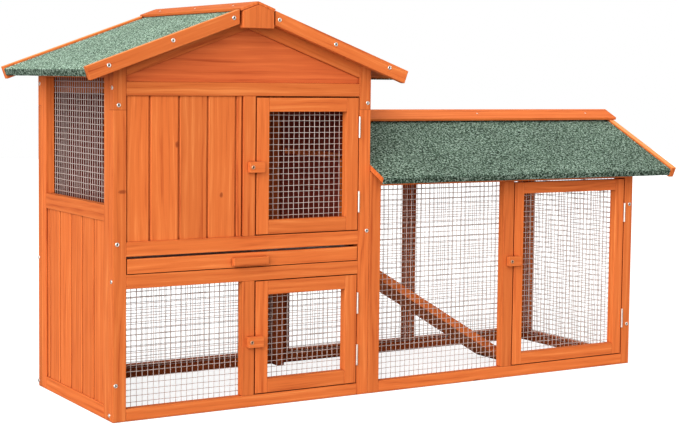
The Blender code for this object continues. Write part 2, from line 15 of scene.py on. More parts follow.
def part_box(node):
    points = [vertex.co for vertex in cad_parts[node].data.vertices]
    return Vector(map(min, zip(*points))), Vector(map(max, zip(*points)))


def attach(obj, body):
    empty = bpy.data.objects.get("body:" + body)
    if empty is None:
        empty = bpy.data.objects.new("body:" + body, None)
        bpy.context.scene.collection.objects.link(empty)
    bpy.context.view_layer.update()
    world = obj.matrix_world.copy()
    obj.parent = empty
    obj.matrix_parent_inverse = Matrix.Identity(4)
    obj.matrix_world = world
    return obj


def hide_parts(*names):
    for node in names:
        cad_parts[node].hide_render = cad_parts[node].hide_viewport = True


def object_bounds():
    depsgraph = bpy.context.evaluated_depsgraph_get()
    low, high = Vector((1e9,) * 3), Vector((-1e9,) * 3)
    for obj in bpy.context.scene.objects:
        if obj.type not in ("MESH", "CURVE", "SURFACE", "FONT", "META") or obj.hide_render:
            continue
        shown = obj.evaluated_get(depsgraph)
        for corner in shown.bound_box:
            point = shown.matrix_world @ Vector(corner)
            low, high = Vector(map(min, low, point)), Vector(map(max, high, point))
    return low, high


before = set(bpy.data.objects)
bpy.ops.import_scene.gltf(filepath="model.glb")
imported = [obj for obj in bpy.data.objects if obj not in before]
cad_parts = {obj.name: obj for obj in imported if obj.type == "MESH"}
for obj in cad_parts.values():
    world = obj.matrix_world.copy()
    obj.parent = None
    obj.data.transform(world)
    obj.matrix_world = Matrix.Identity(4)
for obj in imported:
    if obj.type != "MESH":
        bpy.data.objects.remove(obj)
CAD_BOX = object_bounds()


def span_of(node, axis):
    low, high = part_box(node)
    return low[axis], high[axis]


# Places taken from the frame
HOUSE_LEFT, HOUSE_RIGHT = span_of("front_frame", 0)
FRONT, FRONT_BACK = span_of("front_frame", 1)
BACK_FRONT, BACK = span_of("back_frame", 1)
RUN_LEFT, RUN_RIGHT = span_of("run_front_frame", 0)
RUN_TOP = span_of("run_front_frame", 2)[1]
INSIDE = span_of("left_side_frame", 1)
SIDE_TOP = span_of("left_side_frame", 2)[1]
DIVIDER = span_of("divider_frame", 0)
RIDGE_X = (HOUSE_LEFT + HOUSE_RIGHT) / 2

# Board sizes
THICK = FRONT_BACK - FRONT
STILE = 0.029
SIDE_STILE = 0.0277
EDGE = 0.0011
TRIM_EDGE = 0.0014
CAP_EDGE = 0.0012
DECK_EDGE = 0.0008
THIN_EDGE = 0.0003

# Heights of the house's rails
BOTTOM_RAIL_TOP = 0.026
BACK_RAIL_TOP = 0.031
LOWER_ROOM_TOP = 0.272
SLOT_BOTTOM = 0.301
SLOT_TOP = 0.338
UPPER_ROOM_BOTTOM = 0.368
UPPER_ROOM_TOP = 0.664
TIE_TOP = 0.692
POST_TOP = 0.635
SIDE_BASE_TOP = 0.029
SIDE_RAIL = (0.408, 0.441)
RUN_RAIL_BOTTOM = 0.466

# Places along the front
LATCH_STILE = (HOUSE_LEFT + 0.294, HOUSE_LEFT + 0.323)
RUN_POST_RIGHT = HOUSE_LEFT + 0.640
RUN_STILE = (HOUSE_LEFT + 0.984, HOUSE_LEFT + 1.014)
RUN_END_POST = RUN_RIGHT - 0.025
INNER = (HOUSE_LEFT + STILE, HOUSE_RIGHT - STILE)
SIDE_INNER = (INSIDE[0] + SIDE_STILE, INSIDE[1] - SIDE_STILE)


# ---- node helpers


def new_material(name):
    material = bpy.data.materials.new(name)
    material.use_nodes = True
    tree = material.node_tree
    return material, tree, tree.nodes["Principled BSDF"]


def set_inputs(tree, node, inputs):
    """Each input is set to a value or linked to a socket."""
    for key, value in inputs.items():
        if isinstance(value, bpy.types.NodeSocket):
            tree.links.new(value, node.inputs[key])
        else:
            node.inputs[key].default_value = value


def add_node(tree, kind, settings=(), inputs=()):
    node = tree.nodes.new(kind)
    for key, value in dict(settings).items():
        setattr(node, key, value)
    set_inputs(tree, node, dict(inputs))
    return node


def math_node(tree, operation, first, second=0.0):
    return add_node(tree, "ShaderNodeMath", {"operation": operation}, {0: first, 1: second}).outputs[0]


def added(tree, first, second):
    """The sum of two vectors."""
    return add_node(tree, "ShaderNodeVectorMath", {"operation": "ADD"}, {0: first, 1: second}).outputs[0]


def blend_colours(tree, share, first, second, mode="MIX"):
    inputs = {0: share, 6: first, 7: second}
    settings = {"data_type": "RGBA", "blend_type": mode}
    return add_node(tree, "ShaderNodeMix", settings, inputs).outputs[2]


def ramp(tree, value, stops, smooth=True):
    """A colour ramp with (position, colour) stops."""
    node = add_node(tree, "ShaderNodeValToRGB", (), {"Fac": value})
    elements = node.color_ramp.elements
    while len(elements) < len(stops):
        elements.new(0.5)
    for element, (position, colour) in zip(elements, stops):
        element.position = position
        element.color = (*colour, 1.0)
    if smooth:
        node.color_ramp.interpolation = "EASE"
    return node.outputs["Color"]


def stretched(tree, vector, scale):
    node = add_node(tree, "ShaderNodeMapping", (), {"Vector": vector, "Scale": scale})
    return node.outputs["Vector"]


def noise(tree, vector, scale, detail=2.0, roughness=0.5):
    inputs = {"Vector": vector, "Scale": scale, "Detail": detail, "Roughness": roughness}
    return add_node(tree, "ShaderNodeTexNoise", (), inputs).outputs["Fac"]


def add_bump(tree, shader, height, strength, distance):
    inputs = {"Height": height, "Strength": strength, "Distance": distance}
    bump = add_node(tree, "ShaderNodeBump", (), inputs)
    set_inputs(tree, shader, {"Normal": bump.outputs["Normal"]})


def own_coordinates(tree):
    """The piece's own coordinates, shifted by a random amount so that no two boards match."""
    coordinates = add_node(tree, "ShaderNodeTexCoord").outputs["Object"]
    draw = add_node(tree, "ShaderNodeObjectInfo").outputs["Random"]
    shifts = [math_node(tree, "MULTIPLY", draw, far) for far in (31.0, 17.0, 23.0)]
    offset = add_node(tree, "ShaderNodeCombineXYZ", (), dict(enumerate(shifts))).outputs[0]
    return added(tree, coordinates, offset), draw


# ---- materials

WHITE = (1.0, 1.0, 1.0)
BLACK = (0.0, 0.0, 0.0)


def weighted_sum(tree, base, parts):
    """base plus each value times its weight."""
    total = base
    for value, weight in parts:
        inputs = {0: value, 1: weight, 2: total}
        settings = {"operation": "MULTIPLY_ADD"}
        total = add_node(tree, "ShaderNodeMath", settings, inputs).outputs[0]
    return total


def shade_of(tree, distance, stops):
    """Painted shade: darkens the colour where other pieces close a place in, such as gaps between boards and
    the inside of the house.
    """
    closed_in = add_node(tree, "ShaderNodeAmbientOcclusion", {"samples": 6}, {"Distance": distance})
    return ramp(tree, closed_in.outputs["AO"], stops)


def placed_knot(tree, spot):
    """1 at a knot and 0 round it, for a spot (along, across, radius, squash) in the piece's frame."""
    along, across, radius, squash = spot
    coordinates = add_node(tree, "ShaderNodeTexCoord").outputs["Object"]
    moved = added(tree, coordinates, (-along, -across, 0.0))
    inputs = {0: stretched(tree, moved, (squash, 1.0, 0.0))}
    away = add_node(tree, "ShaderNodeVectorMath", {"operation": "LENGTH"}, inputs).outputs["Value"]
    ragged = weighted_sum(tree, -0.5, [(noise(tree, coordinates, 160.0, 2.0), 1.0)])
    away = weighted_sum(tree, math_node(tree, "DIVIDE", away, radius), [(ragged, 0.5)])
    return ramp(tree, away, [(0.35, (0.75,) * 3), (1.0, BLACK)])


def make_wood(name, dark, middle, light, knots=0.8, spot=None, enclosed_shade=False):
    """Stained softwood whose grain runs along the piece's own X axis."""
    material, tree, shader = new_material(name)
    place, draw = own_coordinates(tree)
    wander = noise(tree, stretched(tree, place, (3.0, 14.0, 14.0)), 1.0, 1.0)
    sway = weighted_sum(tree, -0.008, [(wander, 0.016)])
    sway = add_node(tree, "ShaderNodeCombineXYZ", (), {1: sway, 2: sway}).outputs[0]
    bent = added(tree, place, sway)

    streaks = noise(tree, stretched(tree, bent, (1.6, 105.0, 105.0)), 1.0, 3.0, 0.6)
    fibres = noise(tree, stretched(tree, bent, (12.0, 420.0, 420.0)), 1.0, 2.0, 0.6)
    blotches = noise(tree, stretched(tree, place, (5.0, 14.0, 14.0)), 1.0, 2.0)
    inputs = {"Scale": 34.0, "Distortion": 3.0, "Detail": 2.0, "Detail Scale": 0.6}
    inputs["Vector"] = stretched(tree, bent, (0.25, 1.0, 1.0))
    settings = {"wave_type": "RINGS", "rings_direction": "X"}
    rings = add_node(tree, "ShaderNodeTexWave", settings, inputs).outputs["Fac"]
    parts = [(streaks, 0.42), (rings, 0.09), (fibres, 0.26), (blotches, 0.20)]
    figure = weighted_sum(tree, 0.015, parts)
    colour = ramp(tree, figure, [(0.30, dark), (0.50, middle), (0.72, light)])
    tone = weighted_sum(tree, 0.92, [(draw, 0.16)])
    tone = add_node(tree, "ShaderNodeCombineXYZ", (), {0: tone, 1: tone, 2: tone}).outputs[0]
    colour = blend_colours(tree, 1.0, colour, tone, "MULTIPLY")

    inputs = {"Vector": stretched(tree, bent, (5.0, 13.0, 13.0)), "Scale": 1.0}
    cells = add_node(tree, "ShaderNodeTexVoronoi", (), inputs).outputs["Distance"]
    knotty = math_node(tree, "GREATER_THAN", draw, 0.72)
    knot = ramp(tree, cells, [(0.035, (knots,) * 3), (0.075, BLACK)])
    knot_brown = (dark[0] * 0.55, dark[1] * 0.50, dark[2] * 0.60, 1.0)
    colour = blend_colours(tree, math_node(tree, "MULTIPLY", knot, knotty), colour, knot_brown)
    if spot:
        colour = blend_colours(tree, placed_knot(tree, spot), colour, knot_brown)
    # Painted shade: the colour is darkened in the narrow gaps and creases between boards.
    crease_shade = shade_of(tree, 0.010, [(0.20, (0.36, 0.16, 0.12)), (0.72, WHITE)])
    colour = blend_colours(tree, 1.0, colour, crease_shade, "MULTIPLY")
    # Painted shade: the colour is darkened further where the house and run close the piece in.
    if enclosed_shade:
        inside = shade_of(tree, 0.45, [(0.25, (0.34, 0.24, 0.26)), (0.62, WHITE)])
        colour = blend_colours(tree, 1.0, colour, inside, "MULTIPLY")

    rough = weighted_sum(tree, 0.72, [(streaks, -0.16)])
    set_inputs(tree, shader, {"Base Color": colour, "Roughness": rough, "Specular IOR Level": 0.12})
    relief = weighted_sum(tree, fibres, [(rings, 0.5)])
    add_bump(tree, shader, relief, 0.16, 0.0007)
    return material


FELT_TINTS = ((0.006, 0.022, 0.010), (0.092, 0.178, 0.108), (0.54, 0.70, 0.57))


def make_felt(name, colour_and_light_gain, granules):
    """Mineral roofing felt: green granules with pale and dark ones between."""
    material, tree, shader = new_material(name)
    place, _ = own_coordinates(tree)
    inputs = {"Vector": place, "Scale": 330.0, "Randomness": 1.0}
    grains = add_node(tree, "ShaderNodeTexVoronoi", (), inputs).outputs["Distance"]
    coarse = noise(tree, place, granules, 2.0, 0.75)
    fine = noise(tree, place, 700.0, 2.0, 0.75)
    drift = noise(tree, place, 9.0, 2.0)
    mix = weighted_sum(tree, 0.0, [(coarse, 0.72), (fine, 0.28)])
    # The gain scales every tint: it sets the felt's colour and also paints in how brightly each roof is lit.
    dark, green, pale = (tuple(colour_and_light_gain * channel for channel in tint) for tint in FELT_TINTS)
    colour = ramp(tree, mix, [(0.43, dark), (0.50, green), (0.58, pale)])
    shade = ramp(tree, drift, [(0.35, (0.88,) * 3), (0.65, WHITE)])
    colour = blend_colours(tree, 1.0, colour, shade, "MULTIPLY")
    set_inputs(tree, shader, {"Base Color": colour, "Roughness": 0.92, "Specular IOR Level": 0.25})
    relief = math_node(tree, "ADD", grains, fine)
    add_bump(tree, shader, relief, 0.5, 0.0012)
    return material


def make_metal(name, base, rough, speckle=0.12, scale=240.0, metallic=1.0):
    """Zinc-coated steel with a faint spangle."""
    material, tree, shader = new_material(name)
    place, _ = own_coordinates(tree)
    spangle = noise(tree, place, scale, 3.0, 0.6)
    low = tuple(channel * (1 - speckle) for channel in base)
    high = tuple(min(1.0, channel * (1 + speckle)) for channel in base)
    colour = ramp(tree, spangle, [(0.35, low), (0.65, high)])
    roughness = weighted_sum(tree, rough - 0.1, [(spangle, 0.2)])
    set_inputs(tree, shader, {"Base Color": colour, "Metallic": metallic, "Roughness": roughness})
    add_bump(tree, shader, spangle, 0.08, 0.0003)
    return material


FIR = ((0.400, 0.064, 0.013), (0.620, 0.143, 0.031), (0.760, 0.228, 0.060))
RED_FIR = ((0.420, 0.062, 0.015), (0.640, 0.126, 0.032), (0.760, 0.178, 0.047))
WOOD = make_wood("stained_fir", *FIR)
WOOD_RED = make_wood("stained_fir_red", *RED_FIR, knots=0.0)
# A copy of the stain with painted shade where the house and run close it in.
WOOD_ENCLOSED_SHADE = make_wood("stained_fir_enclosed_shade", *FIR, enclosed_shade=True)
# Painted shade: a near-black copy of the stain for the faces inside the house, standing in for the shade
# there.
WOOD_INSIDE_SHADE = make_wood(
    "stained_fir_inside_shade", (0.085, 0.010, 0.006), (0.150, 0.020, 0.011), (0.210, 0.032, 0.016)
)
# Painted highlight: a paler copy of the stain for the lit upper edges of the bargeboards.
WOOD_TOP_HIGHLIGHT = make_wood("stained_fir_top_highlight", (0.62, 0.17, 0.045), (0.80, 0.27, 0.085), (0.90, 0.36, 0.12))
WOOD_POST = make_wood("stained_fir_post", *FIR, knots=0.0, spot=(0.153, 0.006, 0.012, 2.2))
WOOD_BOARD_2 = make_wood("stained_fir_board_2", *FIR, knots=0.0, spot=(0.048, 0.029, 0.007, 0.8))
WOOD_BOARD_4 = make_wood("stained_fir_board_4", *FIR, knots=0.0, spot=(-0.059, -0.001, 0.005, 0.7))
# Painted light and shade: the house's felt is made lighter and the run's darker, standing in for how the
# light falls on each roof.
FELT_HOUSE_LIT = make_felt("roofing_felt_house_lit", 1.10, 260.0)
FELT_RUN_SHADED = make_felt("roofing_felt_run_shaded", 0.58, 230.0)
# Painted shade: a darker copy of the felt for its fold down over the eave.
FELT_FOLD_SHADE = make_felt("roofing_felt_fold_shade", 0.46, 200.0)
WIRE = make_metal("galvanised_wire", (0.52, 0.415, 0.375), 0.55, 0.15, 400.0, metallic=0.2)
ZINC = make_metal("zinc_plate", (0.90, 0.87, 0.82), 0.36, 0.06, 300.0)
ZINC_DULL = make_metal("zinc_plate_dull", (0.62, 0.36, 0.22), 0.50, 0.10, 300.0)
SHEET = make_metal("galvanised_sheet", (0.60, 0.61, 0.62), 0.38, 0.14, 60.0)
# Painted shade: a near-black metal for the inside of the screw recesses.
RECESS_SHADE = make_metal("screw_recess_shade", (0.10, 0.075, 0.06), 0.65, 0.3, 900.0)


# ---- boards

AXES = {"front": (0, 2, 1), "side": (1, 2, 0), "flat": (0, 1, 2)}
ALONG_X, ALONG_Y, ALONG_Z = (1, 0, 0), (0, 1, 0), (0, 0, 1)
SHARP_EDGE = 0.0002


def lay(facing, across, up, through):
    """A place or direction given in a facing's own axes, as (x, y, z)."""
    place = [0.0, 0.0, 0.0]
    for axis, value in zip(AXES[facing], (across, up, through)):
        place[axis] = value
    return place


def prism(outline, span, facing):
    """A bmesh of an outline, given in the facing's own two axes, as thick as span."""
    shape = bmesh.new()
    near, far = [[shape.verts.new(lay(facing, *point, depth)) for point in outline] for depth in span]
    shape.faces.new(near)
    shape.faces.new(far)
    for index in range(len(outline)):
        shape.faces.new((near[index - 1], near[index], far[index], far[index - 1]))
    bmesh.ops.recalc_face_normals(shape, faces=shape.faces)
    return shape


def bridge(shape, rings):
    """Faces from each closed ring of points to the next. A ring of one point is a tip."""
    for pair in zip(rings, rings[1:]):
        count = max(len(ring) for ring in pair)
        near, far = (ring * (count // len(ring)) for ring in pair)
        for step in range(count):
            after = (step + 1) % count
            corners = (near[step], far[step], far[after], near[after])
            shape.faces.new(list(dict.fromkeys(corners)))


def add_object(name, data):
    made = bpy.data.objects.new(name, data)
    bpy.context.scene.collection.objects.link(made)
    return made


def place_piece(name, shape, body, material, node, grain=ALONG_X, through=ALONG_Z):
    """Makes a piece of a bmesh drawn in the row frame. Its own X axis runs along the grain."""
    x_axis = Vector(grain).normalized()
    if abs(x_axis.dot(Vector(through))) > 0.99:
        through = x_axis.yzx
    z_axis = Vector(through) - x_axis * x_axis.dot(Vector(through))
    z_axis.normalize()
    y_axis = z_axis.cross(x_axis)
    centre = sum((vert.co for vert in shape.verts), Vector()) / len(shape.verts)
    turn = Matrix((x_axis, y_axis, z_axis)).transposed().to_4x4()
    turn.translation = centre
    mesh = bpy.data.meshes.new(name)
    shape.to_mesh(mesh)
    shape.free()
    mesh.transform(turn.inverted())
    mesh.materials.append(material)
    piece = add_object(name, mesh)
    piece.matrix_world = turn
    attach(piece, body)
    if node:
        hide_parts(node)
    return piece


def smooth_up_to(piece, degrees):
    """Smooth shading, with the edges sharper than an angle kept sharp."""
    piece.data.shade_smooth()
    piece.data.set_sharp_from_angle(angle=math.radians(degrees))


def plank(name, outline, span, facing, grain, body="hutch", node=None, material=WOOD, edge=EDGE):
    """A board with eased edges, cut to an outline. Its large faces are shaded flat."""
    shape = prism(outline, span, facing)
    easing = {"segments": 2, "profile": 0.5, "affect": "EDGES", "clamp_overlap": True}
    bmesh.ops.bevel(shape, geom=list(shape.edges), offset=edge, **easing)
    through = lay(facing, 0.0, 0.0, 1.0)
    piece = place_piece(name, shape, body, material, node, grain, through)
    piece.data.shade_smooth()
    normals = piece.modifiers.new("normals", "WEIGHTED_NORMAL")
    normals.keep_sharp = True
    normals.weight = 100
    return piece


def paint_faces(piece, direction, material, least=0.9):
    """Gives a second material to the faces that look in one direction."""
    piece.data.materials.append(material)
    turn = piece.matrix_world.to_3x3()
    towards = Vector(direction).normalized()
    for face in piece.data.polygons:
        if (turn @ face.normal).dot(towards) > least:
            face.material_index = len(piece.data.materials) - 1


def rectangle(across, up):
    return [(across[0], up[0]), (across[1], up[0]), (across[1], up[1]), (across[0], up[1])]


def sheet(node, facing):
    """The rectangle that a CAD node covers, and its span through it."""
    low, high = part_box(node)
    across, up, through = AXES[facing]
    outline = rectangle((low[across], high[across]), (low[up], high[up]))
    return outline, (low[through], high[through])


def boards(prefix, rows, span, facing, node=None, **options):
    """Rectangular boards in one plane, from (name, across, up) rows, with the grain down the longer side."""
    pieces = []
    for name, across, up in rows:
        axis = AXES[facing][0 if across[1] - across[0] > up[1] - up[0] else 1]
        grain = (ALONG_X, ALONG_Y, ALONG_Z)[axis]
        outline = rectangle(across, up)
        pieces.append(plank(f"{prefix}_{name}", outline, span, facing, grain, node=node, **options))
        node = None
    return pieces


def strips(prefix, node, facing, count, **options):
    """A CAD sheet as a number of boards, one above the other along the facing's second axis."""
    outline, span = sheet(node, facing)
    (left, low), (right, high) = outline[0], outline[2]
    edges = np.linspace(low, high, count + 1)
    rows = [(number, (left, right), ends) for number, ends in enumerate(zip(edges, edges[1:]), 1)]
    return boards(prefix, rows, span, facing, node=node, **options)


GROOVE_HALF = 0.0016
GROOVE_DEPTH = 0.0034
GROOVE_CHAMFER = 0.0016
SIDE_GROOVE = 1.7
JOINT_HALF = 0.0002


def grooved_boards(prefix, along, up, joints, faces, facing, node, woods=(), groove=1.0):
    """Vertical boards side by side, each with a chamfer down both edges of its outer face."""
    outer, inner = faces
    edges = [along[0], *joints, along[1]]
    into = math.copysign(GROOVE_CHAMFER, inner - outer)
    middle = outer + math.copysign(GROOVE_DEPTH * groove, inner - outer)
    half = GROOVE_HALF * groove
    for number, (low, high) in enumerate(zip(edges, edges[1:]), 1):
        low += JOINT_HALF
        high -= JOINT_HALF
        near, far = low + half, high - half
        section = [(low, inner), (low, middle), (near, middle), (near, outer + into)]
        section += [(near + GROOVE_CHAMFER, outer), (far - GROOVE_CHAMFER, outer)]
        section += [(far, outer + into), (far, middle), (high, middle), (high, inner)]
        if facing == "side":
            section = [(depth, place) for place, depth in section]
        options = {"node": node, "material": dict(woods).get(number, WOOD), "edge": SHARP_EDGE}
        piece = plank(f"{prefix}_{number}", section, up, "flat", ALONG_Z, **options)
        # Painted shade: the inner face gets the near-black inside copy of the stain.
        paint_faces(piece, lay(facing, 0.0, 0.0, inner - outer), WOOD_INSIDE_SHADE)
        node = None


# ---- roof lines

HOUSE_DROP = 0.0046
RUN_DROP = 0.0045
FELT_THICK = 0.002
DECK_THICK = 0.012
GAP = 0.0003
RAFTER = 0.031
RUN_END_MESH_OFFSET = -0.0388


class Roof:
    """One slope of a gable: a line up from the eave to the ridge, with offsets square to it.

    The felt lies a drop below that line, and the rafters start at the offset under.
    """

    def __init__(self, eave, degrees, ridge, drop, facing):
        angle = math.radians(degrees)
        self.cos, self.sin, self.tan = math.cos(angle), math.sin(angle), math.tan(angle)
        self.eave = eave
        self.ridge = ridge
        self.drop = drop
        self.facing = facing
        self.under = -(drop + FELT_THICK + DECK_THICK + 2 * GAP)

    def at(self, across, offset):
        rise = (across - self.eave[0]) * self.tan
        return (across, self.eave[1] + rise + offset / self.cos)

    def line(self, *points):
        """Several (across, offset) points."""
        return [self.at(*point) for point in points]

    def square(self, along, offset):
        across = self.eave[0] + along * self.cos - offset * self.sin
        return (across, self.eave[1] + along * self.sin + offset * self.cos)

    def reach(self, across):
        """How far along the slope a place across the section lies."""
        return (across - self.eave[0]) / self.cos

    def mirrored(self, points):
        return [(2 * self.ridge - across, up) for across, up in reversed(points)]

    def strip(self, foot, end, low, high):
        """The section of a board from a place along the slope up to a place across it."""
        return [self.square(foot, high), self.square(foot, low), self.at(end, low), self.at(end, high)]

    def grain(self, turned):
        """The direction along this slope, or along the one across the ridge."""
        return lay(self.facing, self.cos, -self.sin if turned else self.sin, 0.0)

    def plank(self, name, outline, span, turned, grain, **options):
        """A board on this slope, or mirrored onto the one across the ridge."""
        outline = self.mirrored(outline) if turned else outline
        return plank(name, outline, span, self.facing, grain, **options)


HOUSE_ROOF = Roof((CAD_BOX[0][0], 0.721), 20.0, RIDGE_X, HOUSE_DROP, "front")
RUN_ROOF = Roof((span_of("run_bargeboard_front", 1)[0], 0.492), 25.5, 0.0, RUN_DROP, "side")


# ---- wire mesh

CELL = 0.0127
WIRE_RADIUS = 0.00072
WIRE_SIDES = 6
WIRE_DRIFT = 0.00022
WIRE_BULGE = 0.00018
LAYER_SHARE = 0.85
EDGE_MARGIN = 1e-5


def chord(outline, axis, value):
    """Where a line at a fixed place along one axis enters and leaves a convex outline."""
    other = 1 - axis
    crossings = []
    for start, end in zip(outline, outline[1:] + outline[:1]):
        low, high = sorted((start[axis], end[axis]))
        if low <= value < high:
            share = (value - start[axis]) / (end[axis] - start[axis])
            crossings.append(start[other] + share * (end[other] - start[other]))
    return (min(crossings), max(crossings)) if len(crossings) >= 2 else None


def wire_panel(node, outline, facing, body, seed):
    """Welded wire: two layers of thin rods a cell apart, each a little uneven."""
    depth = sum(sheet(node, facing)[1]) / 2
    rng = np.random.default_rng(seed)
    angles = np.linspace(0, 2 * math.pi, WIRE_SIDES, endpoint=False)
    shape = bmesh.new()
    for axis, side in ((0, -1), (1, 1)):
        low = min(point[axis] for point in outline)
        high = max(point[axis] for point in outline)
        count = int((high - low) / CELL)
        first = (low + high - count * CELL) / 2
        for index in range(count + 1):
            value = min(max(first + index * CELL, low + EDGE_MARGIN), high - EDGE_MARGIN)
            ends = chord(outline, axis, value)
            if ends is None or ends[1] - ends[0] < CELL:
                continue
            steps = max(2, int((ends[1] - ends[0]) / (2 * CELL)))
            along = np.linspace(*ends, steps + 1)
            drift = rng.normal(0, WIRE_DRIFT, steps + 1)
            bulge = rng.normal(0, WIRE_BULGE, steps + 1)
            rings = []
            for place, off, out in zip(along, drift, bulge):
                middle = depth + out + side * WIRE_RADIUS * LAYER_SHARE
                ring = []
                for angle in angles:
                    fixed = value + off + WIRE_RADIUS * math.cos(angle)
                    flat = (place, fixed) if axis else (fixed, place)
                    spot = lay(facing, *flat, middle + WIRE_RADIUS * math.sin(angle))
                    ring.append(shape.verts.new(spot))
                rings.append(ring)
            bridge(shape, rings)
            shape.faces.new(rings[0])
            shape.faces.new(rings[-1])
    bmesh.ops.recalc_face_normals(shape, faces=shape.faces)
    piece = place_piece(f"{node}_wires", shape, body, WIRE, node)
    piece.data.shade_smooth()


def build_wire():
    nodes = ["front_lower_mesh", "left_window_mesh", "back_lower_mesh", "run_front_mesh", "run_back_mesh"]
    panels = [(node, "side" if node == "left_window_mesh" else "front", "hutch") for node in nodes]
    panels += [(f"{door}_mesh", "front", door) for door in DOOR_RAILS]
    for seed, (node, facing, body) in enumerate(panels, 1):
        wire_panel(node, sheet(node, facing)[0], facing, body, seed)
    low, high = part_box("run_end_mesh")
    shoulder = RUN_ROOF.at(low.y, RUN_END_MESH_OFFSET)[1]
    outline = [(low.y, low.z), (high.y, low.z), (high.y, shoulder), (0.0, high.z), (low.y, shoulder)]
    wire_panel("run_end_mesh", outline, "side", "hutch", 20)


# ---- screws and nails


def joined(shapes):
    """Several bmeshes as one."""
    whole = bmesh.new()
    for shape in shapes:
        mesh = bpy.data.meshes.new("joining")
        shape.to_mesh(mesh)
        shape.free()
        whole.from_mesh(mesh)
        bpy.data.meshes.remove(mesh)
    return whole


def basis(axis):
    """Two directions square to an axis, and the axis."""
    along = Vector(axis).normalized()
    helper = Vector(ALONG_X) if abs(along.x) < 0.9 else Vector(ALONG_Y)
    first = along.cross(helper).normalized()
    return first, along.cross(first), along


def lathe(profile, centre, axis, segments):
    """A closed body turned from (radius, height) points that start and end on the axis."""
    first, second, along = basis(axis)
    shape = bmesh.new()
    rings = []
    for radius, height in profile:
        middle = Vector(centre) + along * height
        ring = []
        for step in range(segments if radius else 1):
            turn = 2 * math.pi * step / segments
            arm = first * math.cos(turn) + second * math.sin(turn)
            ring.append(shape.verts.new(middle + arm * radius))
        rings.append(ring)
    bridge(shape, rings)
    bmesh.ops.recalc_face_normals(shape, faces=shape.faces)
    return shape


HEAD_RADIUS = 0.0045
HEAD_HEIGHT = 0.0014
HEAD_SEGMENTS = 40
HEAD_SHARES = (0.10, 0.18, 0.26, 0.36, 0.46, 0.56, 0.66, 0.78, 0.90, 0.97, 1.0)
RECESS_HALF = 0.00085
RECESS_REACH = 0.0026
RECESS_DEPTH = 0.0013


def screw_head(centre, outward, turn):
    """A pan head with a cross recess, standing on a surface."""
    first, second, along = basis(outward)
    centre = Vector(centre)
    cos, sin = math.cos(turn), math.sin(turn)
    shape = bmesh.new()

    def point(share, step):
        angle = 2 * math.pi * step / HEAD_SEGMENTS
        radius = HEAD_RADIUS * share
        across, up = radius * math.cos(angle), radius * math.sin(angle)
        in_arm = min(abs(across), abs(up)) < RECESS_HALF and max(abs(across), abs(up)) < RECESS_REACH
        height = HEAD_HEIGHT * (1 - share**4) ** 0.5 - RECESS_DEPTH * in_arm
        side = first * (across * cos - up * sin) + second * (across * sin + up * cos)
        return shape.verts.new(centre + side + along * height)

    rings = [[point(0.0, 0)]]
    rings += [[point(share, step) for step in range(HEAD_SEGMENTS)] for share in HEAD_SHARES]
    bridge(shape, rings)
    shape.faces.new(reversed(rings[-1]))
    bmesh.ops.recalc_face_normals(shape, faces=shape.faces)
    # Painted shade: the faces inside the cross recess get the dark material.
    for face in shape.faces:
        offset = face.calc_center_median() - centre
        rise = offset.dot(along)
        reach = (offset - along * rise).length
        face.material_index = int(reach < RECESS_REACH and rise < HEAD_HEIGHT * 0.75)
    return shape


def screws(name, places, outward, body="hutch", metal=ZINC):
    """A group of screw heads on one face, as one piece."""
    shapes = [screw_head(place, outward, 0.7 * number) for number, place in enumerate(places, 1)]
    piece = place_piece(name, joined(shapes), body, metal, None)
    # The second material is the painted shade in the recesses.
    piece.data.materials.append(RECESS_SHADE)
    piece.data.shade_smooth()


BRAD_RADIUS = 0.0024
BRAD_HEIGHT = 0.0006
BRAD_SEGMENTS = 14


def nails(name, places, outward):
    """A group of flat nail heads on one surface, as one piece."""
    profile = [(0, -BRAD_HEIGHT), (BRAD_RADIUS, -BRAD_HEIGHT), (BRAD_RADIUS, BRAD_HEIGHT * 0.55)]
    profile += [(BRAD_RADIUS * 0.85, BRAD_HEIGHT), (0, BRAD_HEIGHT * 1.05)]
    heads = joined([lathe(profile, place, outward, BRAD_SEGMENTS) for place in places])
    place_piece(name, heads, "hutch", ZINC, None)


# ---- house

PANEL_THICK = 0.008
PANEL_SET_BACK = 0.004
SIDE_SET_BACK = 0.003
GABLE_SET_BACK = 0.006
FRONT_GROOVES = tuple(HOUSE_LEFT + 0.0818 + 0.0655 * number for number in range(4))
SIDE_GROOVES = tuple(-0.1042 + 0.0645 * number for number in range(5))
BACK_GROOVES = tuple(HOUSE_LEFT + 0.0293 + 0.069 * number for number in range(1, 8))


def panel_faces(outer, inwards):
    """The outer and inner face of a board panel."""
    return outer, outer + inwards * PANEL_THICK


def gable_boards(side, span, faces, node=None):
    """Legs, tie rail and rafters of a gable wall, and the board that fills its opening."""
    left, right = INNER
    roof = HOUSE_ROOF
    low = roof.under - RAFTER
    foot = [(HOUSE_LEFT, POST_TOP), (left, POST_TOP)]
    leg = foot + roof.line((left, roof.under), (HOUSE_LEFT, roof.under))
    rafter = roof.line((left, roof.under), (left, low), (roof.ridge, low), (roof.ridge, roof.under))
    prefix = f"{side}_gable"
    for part, outline in (("leg", leg), ("rafter", rafter)):
        for where, turned in (("left", False), ("right", True)):
            grain = ALONG_Z if part == "leg" else roof.grain(turned)
            roof.plank(f"{prefix}_{part}_{where}", outline, span, turned, grain, node=node)
            node = None
    boards(prefix, [("tie", INNER, (UPPER_ROOM_TOP, TIE_TOP))], span, "front")
    shoulder = roof.at(left, low)
    outline = [(left, TIE_TOP), (right, TIE_TOP), (right, shoulder[1]), roof.at(roof.ridge, low), shoulder]
    options = {"node": f"{side}_gable_board", "material": WOOD_RED, "edge": THIN_EDGE}
    plank(f"{prefix}_infill", outline, sorted(faces), "front", ALONG_X, **options)


